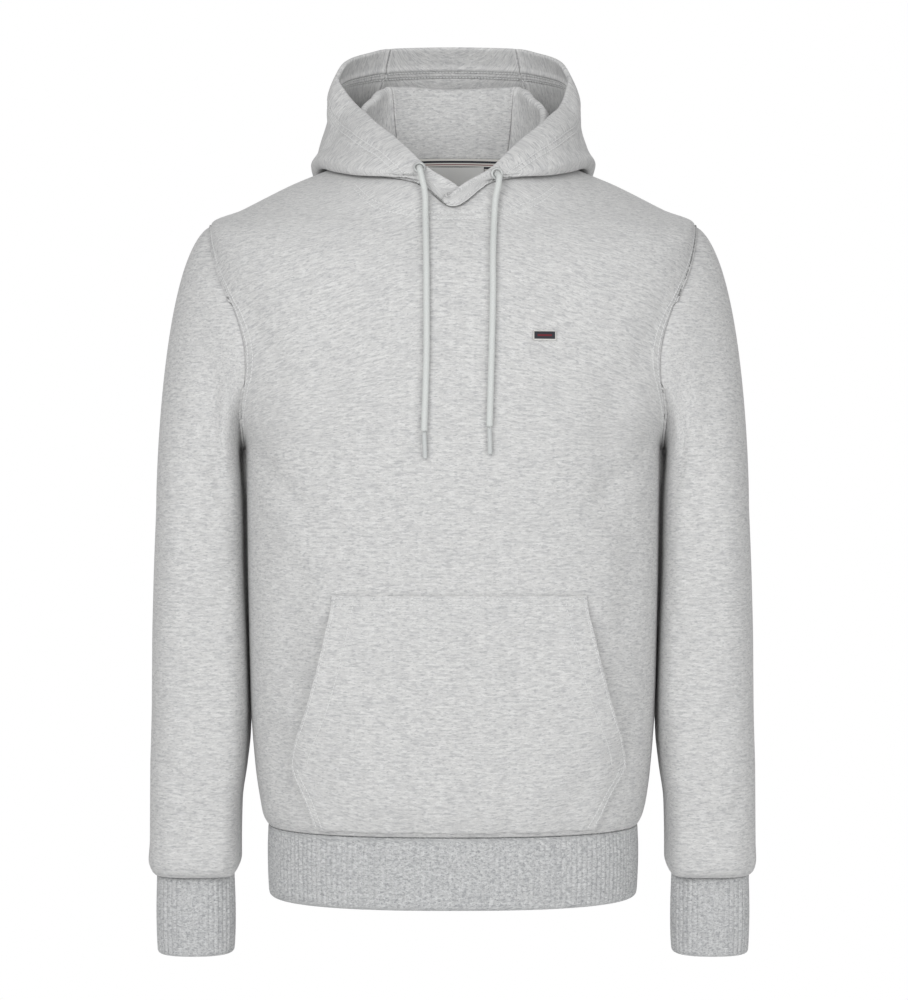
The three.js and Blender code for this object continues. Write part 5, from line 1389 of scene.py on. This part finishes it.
class Finish:
    """A material's nodes round one Principled shader."""

    def __init__(self, name, **constants):
        self.material = bpy.data.materials.new(name)
        self.material.use_nodes = True
        self.tree = self.material.node_tree
        self.shader = self.tree.nodes["Principled BSDF"]
        for socket, value in constants.items():
            self.shader.inputs[socket.replace("_", " ")].default_value = value

    def node(self, kind, settings, inputs, output=0):
        made = self.tree.nodes.new(kind)
        for name, value in settings.items():
            setattr(made, name, value)
        for key, value in inputs.items():
            if isinstance(value, Wire):
                self.tree.links.new(value.socket, made.inputs[key])
            else:
                made.inputs[key].default_value = value
        return Wire(self, made.outputs[output])

    def drive(self, socket, wire):
        self.tree.links.new(wire.socket, self.shader.inputs[socket])

    def stretched_map(self, across_mm, down_mm, shift=(0.0, 0.0)):
        """The cloth's own map, measured in cells of the given size."""
        uv = self.node("ShaderNodeUVMap", {"uv_map": "cloth"}, {})
        scale = (1000 / across_mm, 1000 / down_mm, 1)
        return self.node("ShaderNodeMapping", {}, {"Vector": uv, "Scale": scale, "Location": (*shift, 0)})

    def noise(self, vector, detail=2.0, scale=1.0):
        return self.node("ShaderNodeTexNoise", {}, {"Vector": vector, "Scale": scale, "Detail": detail})

    def step(self, value, low, high):
        return self.node("ShaderNodeMapRange", {"interpolation_type": "SMOOTHSTEP"},
                         {"Value": value, "From Min": low, "From Max": high})

    def mix(self, factor, first, second):
        return self.node("ShaderNodeMix", {"data_type": "RGBA"}, {0: factor, 6: first, 7: second}, 2)

    def split(self, vector, axis):
        return self.node("ShaderNodeSeparateXYZ", {}, {"Vector": vector}, axis)

    def bump(self, height, distance_mm, strength=1.0):
        inputs = {"Height": height, "Distance": distance_mm * MM, "Strength": strength}
        self.drive("Normal", self.node("ShaderNodeBump", {}, inputs))


def colour(red, green, blue):
    """A picture's colour, 0 to 255, as the linear colour that a shader takes."""
    share = np.array([red, green, blue]) / 255
    linear = np.where(share <= 0.04045, share / 12.92, ((share + 0.055) / 1.055) ** 2.4)
    return (*linear.tolist(), 1.0)


def knit_height(finish, wale_mm, course_mm):
    """The V of each knitted loop: a wave down the cloth that leans out from each wale's
    middle line, sin(v + |2 fract(u) - 1| / 2), times a rise along that line."""
    cells = finish.stretched_map(wale_mm, course_mm)
    u, v = finish.split(cells, 0), finish.split(cells, 1)
    lean = (u.fraction() * 2 - 1).size()
    return (v + lean * 0.5).wave() * (1 - lean * lean) * 0.5 + (1 - lean) * 0.5


# Each row is a size across and down in millimetres, a shift, the noise levels between
# which the patch fades in, how strong it is, and whether it is light.
HEATHER_PATCHES = (
    (11.0, 2.6, (0.0, 0.0), 0.46, 0.66, 0.42, False),
    (9.0, 2.4, (41.3, 17.9), 0.46, 0.66, 0.5, True),
    (4.4, 1.3, (9.1, 3.7), 0.54, 0.68, 0.62, False),
    (3.8, 1.2, (31.7, 12.3), 0.54, 0.68, 0.55, True),
    (1.3, 0.8, (5.1, 8.8), 0.46, 0.75, 0.3, False),
)
MOTTLE = (30, 16, (2.2, 3.3), 0.42, 0.7)
MOTTLE_STRENGTH = 0.12


def heather(finish, base, dark, light, along=1.0, strength=1.0):
    """Heather: long soft streaks and short flecks along the courses, as many light as
    dark, over a fine grain and a slow mottle; each is a noise in cells of the cloth."""
    def patches(across_mm, down_mm, shift, low, high):
        cells = finish.stretched_map(across_mm * along, down_mm, shift)
        return finish.step(finish.noise(cells, 2.0), low, high)

    body = base
    for *place, share, is_light in HEATHER_PATCHES:
        body = finish.mix(patches(*place) * (share * strength), body, light if is_light else dark)
    return finish.mix(patches(*MOTTLE) * MOTTLE_STRENGTH, body, dark)


# %% [markdown]
# ## The finishes
#
# Light heather grey fleece with its knitted face, a slightly darker rib, a pale cotton
# braid, and woven trims. Colours were judged from the picture in even light.

# %% Finishes
FLEECE_BASE, FLEECE_DARK, FLEECE_LIGHT = colour(208, 208, 207), colour(164, 165, 168), colour(232, 232, 231)
RIB_BASE, RIB_DARK, RIB_LIGHT = colour(198, 199, 199), colour(142, 144, 148), colour(226, 227, 227)
CORD_BASE, CORD_SHADE = colour(216, 219, 217), colour(186, 190, 189)
END_BASE, END_SHADE = colour(206, 209, 208), colour(172, 176, 177)
METAL_BASE, METAL_SHADE = colour(203, 205, 204), colour(170, 173, 173)
SATIN_BASE, SATIN_SHADE = colour(230, 230, 228), colour(214, 214, 212)
THREAD_BASE, THREAD_SHADE = colour(240, 241, 240), colour(206, 207, 207)
WOVEN_WHITE, WOVEN_SHADE = colour(240, 239, 235), colour(214, 212, 206)
CHARCOAL, MAROON = colour(52, 54, 60), colour(118, 38, 46)


def fleece_finish():
    finish = Finish("fleece", Roughness=0.93, Sheen_Weight=0.18, Sheen_Roughness=0.6,
                    Specular_IOR_Level=0.25)
    finish.drive("Base Color", heather(finish, FLEECE_BASE, FLEECE_DARK, FLEECE_LIGHT))
    fuzz = finish.noise(finish.stretched_map(2.3, 1.7, (7.7, 1.1)), 3.0)
    finish.bump(knit_height(finish, 1.35, 1.05) * 0.55 + fuzz, 0.22, 0.55)
    return finish.material


def rib_finish():
    finish = Finish("rib_knit", Roughness=0.93, Sheen_Weight=0.15, Sheen_Roughness=0.6,
                    Specular_IOR_Level=0.25)
    finish.drive("Base Color", heather(finish, RIB_BASE, RIB_DARK, RIB_LIGHT, 0.5, 1.35))
    finish.bump(knit_height(finish, 1.3, 1.25), 0.3, 0.6)
    return finish.material


def cord_finish(name, base, shade, grain_mm):
    finish = Finish(name, Roughness=0.9, Sheen_Weight=0.1, Specular_IOR_Level=0.3)
    strands = finish.noise(finish.stretched_map(grain_mm, grain_mm * 2.2), 3.0)
    finish.drive("Base Color", finish.mix(finish.step(strands, 0.4, 0.75) * 0.6, base, shade))
    finish.bump(strands, 0.25, 0.6)
    return finish.material


def eyelet_finish():
    finish = Finish("eyelet_grey", Metallic=0.35, Specular_IOR_Level=0.4)
    worn = finish.noise(finish.node("ShaderNodeTexCoord", {}, {}, 3), 3.0, 900.0)
    finish.drive("Base Color", finish.mix(finish.step(worn, 0.4, 0.8) * 0.5, METAL_BASE, METAL_SHADE))
    finish.drive("Roughness", worn * 0.25 + 0.35)
    finish.bump(worn, 0.03, 0.4)
    return finish.material


def weave_height(finish, thread_mm):
    """Twill: waves that step across the cloth, sin(u + v) times sin(v)."""
    cells = finish.stretched_map(thread_mm, thread_mm)
    u, v = finish.split(cells, 0), finish.split(cells, 1)
    return (u + v).wave() * 0.5 + (v * 2).wave() * 0.2


def between(finish, value, low, high, soft=0.12):
    """1 where the value, in millimetres, lies between low and high."""
    return finish.step(value, low - soft, low + soft) * (1 - finish.step(value, high - soft, high + soft))


def tape_finish():
    finish = Finish("woven_tape", Roughness=0.8, Specular_IOR_Level=0.3)
    down = finish.split(finish.stretched_map(1, 1), 1)
    stripes = between(finish, down, 1.9, 4.1) + between(finish, down, 7.5, 9.7)
    weave = weave_height(finish, 0.7)
    cloth = finish.mix(finish.step(weave, -0.4, 0.8) * 0.5, WOVEN_SHADE, WOVEN_WHITE)
    striped = finish.mix(stripes, cloth, CHARCOAL)
    finish.drive("Base Color", finish.mix(between(finish, down, 5.4, 6.2), striped, MAROON))
    finish.bump(weave, 0.12, 0.6)
    return finish.material


def label_finish():
    finish = Finish("woven_label", Roughness=0.6, Specular_IOR_Level=0.35)
    weave = weave_height(finish, 0.55)
    finish.drive("Base Color", finish.mix(finish.step(weave, -0.4, 0.8) * 0.4, SATIN_SHADE, SATIN_BASE))
    finish.bump(weave, 0.08, 0.5)
    return finish.material


def badge_finish():
    finish = Finish("woven_badge", Roughness=0.7, Specular_IOR_Level=0.35)
    cells = finish.stretched_map(1, 1)
    across, down = finish.split(cells, 0), finish.split(cells, 1)
    inside = between(finish, across, -9.5, 9.5) * between(finish, down, 1.1, 7.9)
    ground = finish.mix(inside, WOVEN_WHITE, CHARCOAL)
    bar = between(finish, across, -6.5, 6.5) * between(finish, down, 3.7, 5.3)
    finish.drive("Base Color", finish.mix(bar, ground, MAROON))
    finish.bump(weave_height(finish, 0.5), 0.12, 0.7)
    return finish.material


def thread_finish():
    finish = Finish("thread", Roughness=0.75, Sheen_Weight=0.1, Specular_IOR_Level=0.35)
    twist = finish.noise(finish.node("ShaderNodeTexCoord", {}, {}, 3), 2.0, 1400.0)
    finish.drive("Base Color", finish.mix(twist, THREAD_SHADE, THREAD_BASE))
    finish.bump(twist, 0.05, 0.5)
    return finish.material


fleece = fleece_finish()
rib_knit = rib_finish()
drawcord = cord_finish("drawcord", CORD_BASE, CORD_SHADE, 0.5)
cord_end = cord_finish("cord_end", END_BASE, END_SHADE, 0.35)
eyelet_grey, woven_tape, woven_label = eyelet_finish(), tape_finish(), label_finish()
woven_badge, thread = badge_finish(), thread_finish()
print("finishes:", len(bpy.data.materials))

# %% [markdown]
# ## Each piece gets its finish
#
# Each piece takes its finish. All of the pieces move with the one body, because a
# garment has no joints.

# %% Finishes and bodies
hood_cloth = [entry[0] for entry in hood_panels.values()]
fleece_pieces = [front_body, back_body, sleeve_left, sleeve_right, pocket] + hood_cloth
piece_finishes = (
    (fleece_pieces, fleece, "fleece"),
    ([hem_rib, cuff_left, cuff_right], rib_knit, "rib_knit"),
    ([cords["left"][0], cords["right"][0]], drawcord, "drawcord"),
    ([cords["left"][1], cords["right"][1]], cord_end, "cord_end"),
    (eyelets, eyelet_grey, "eyelet_grey"),
    ([tape], woven_tape, "woven_tape"),
    ([label], woven_label, "woven_label"),
    ([badge], woven_badge, "woven_badge"),
    (list(every_stitch), thread, "fleece"),
)
for pieces, finish, slot_name in piece_finishes:
    for piece in pieces:
        piece.data.materials.append(finish)
        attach(piece, "root")

# %% [markdown]
# ## The cords' paths
#
# Each cord's line is thinned to every fourteenth point, in metres, with its last point
# added, and its first point is taken; nothing more is done with either.

# %% Cord paths
for side, (cord, tip, line) in cords.items():
    path = [tuple(point) for point in line[::14] * MM] + [tuple(line[-1] * MM)]
    tuple(line[0] * MM)

# %% [markdown]
# ## Studio
#
# The picture is a garment cut out on white. A pale floor lies well below it, and the sky
# is white to the camera and softer as a light. Two wide lights in front shape the cloth
# and a third lights its back.

# %% Studio
FLOOR_Z = -1.25
SKY_FOR_LIGHT = 0.4
FLOOR_HALF_SIZE = 1.5
floor_mesh = bpy.data.meshes.new("floor")
corner_signs = ((-1, -1), (1, -1), (1, 1), (-1, 1))
floor_corners = [(x * FLOOR_HALF_SIZE, y * FLOOR_HALF_SIZE, FLOOR_Z) for x, y in corner_signs]
floor_mesh.from_pydata(floor_corners, [], [(0, 1, 2, 3)])
floor = bpy.data.objects.new("floor", floor_mesh)
bpy.context.scene.collection.objects.link(floor)
floor_finish = Finish("floor_white", Base_Color=(0.86, 0.86, 0.86, 1), Roughness=1.0)
floor_mesh.materials.append(floor_finish.material)

world = bpy.data.worlds.new("studio")
bpy.context.scene.world = world
world.use_nodes = True
sky = world.node_tree.nodes["Background"]
seen = world.node_tree.nodes.new("ShaderNodeLightPath")
level = world.node_tree.nodes.new("ShaderNodeMapRange")
world.node_tree.links.new(seen.outputs["Is Camera Ray"], level.inputs["Value"])
level.inputs["To Min"].default_value = SKY_FOR_LIGHT
level.inputs["To Max"].default_value = 1.0
world.node_tree.links.new(level.outputs[0], sky.inputs["Strength"])
sky.inputs["Color"].default_value = (1, 1, 1, 1)

LIGHTS = (
    ("key", (-1.1, -2.3, 0.5), 1.8, 31.5),
    ("fill", (1.4, -2.3, 0.0), 1.8, 21.0),
    ("back", (0.2, 2.2, 0.9), 1.6, 20.0),
)
LIT_POINT = np.array((0.0, 0.0, -0.35))
for name, place, width, power in LIGHTS:
    light_data = bpy.data.lights.new(name, "AREA")
    light_data.shape = "DISK"
    light_data.size = width
    light_data.energy = power
    light = bpy.data.objects.new(name, light_data)
    light.location = place
    aim = LIT_POINT - np.array(place)
    yaw = math.atan2(aim[0], -aim[1])
    pitch = math.atan2(math.hypot(aim[0], aim[1]), -aim[2])
    light.rotation_euler = (pitch, 0, yaw + math.pi)
    bpy.context.scene.collection.objects.link(light)
bpy.context.scene.view_settings.view_transform = "Standard"
print("studio:", len(LIGHTS), "lights")
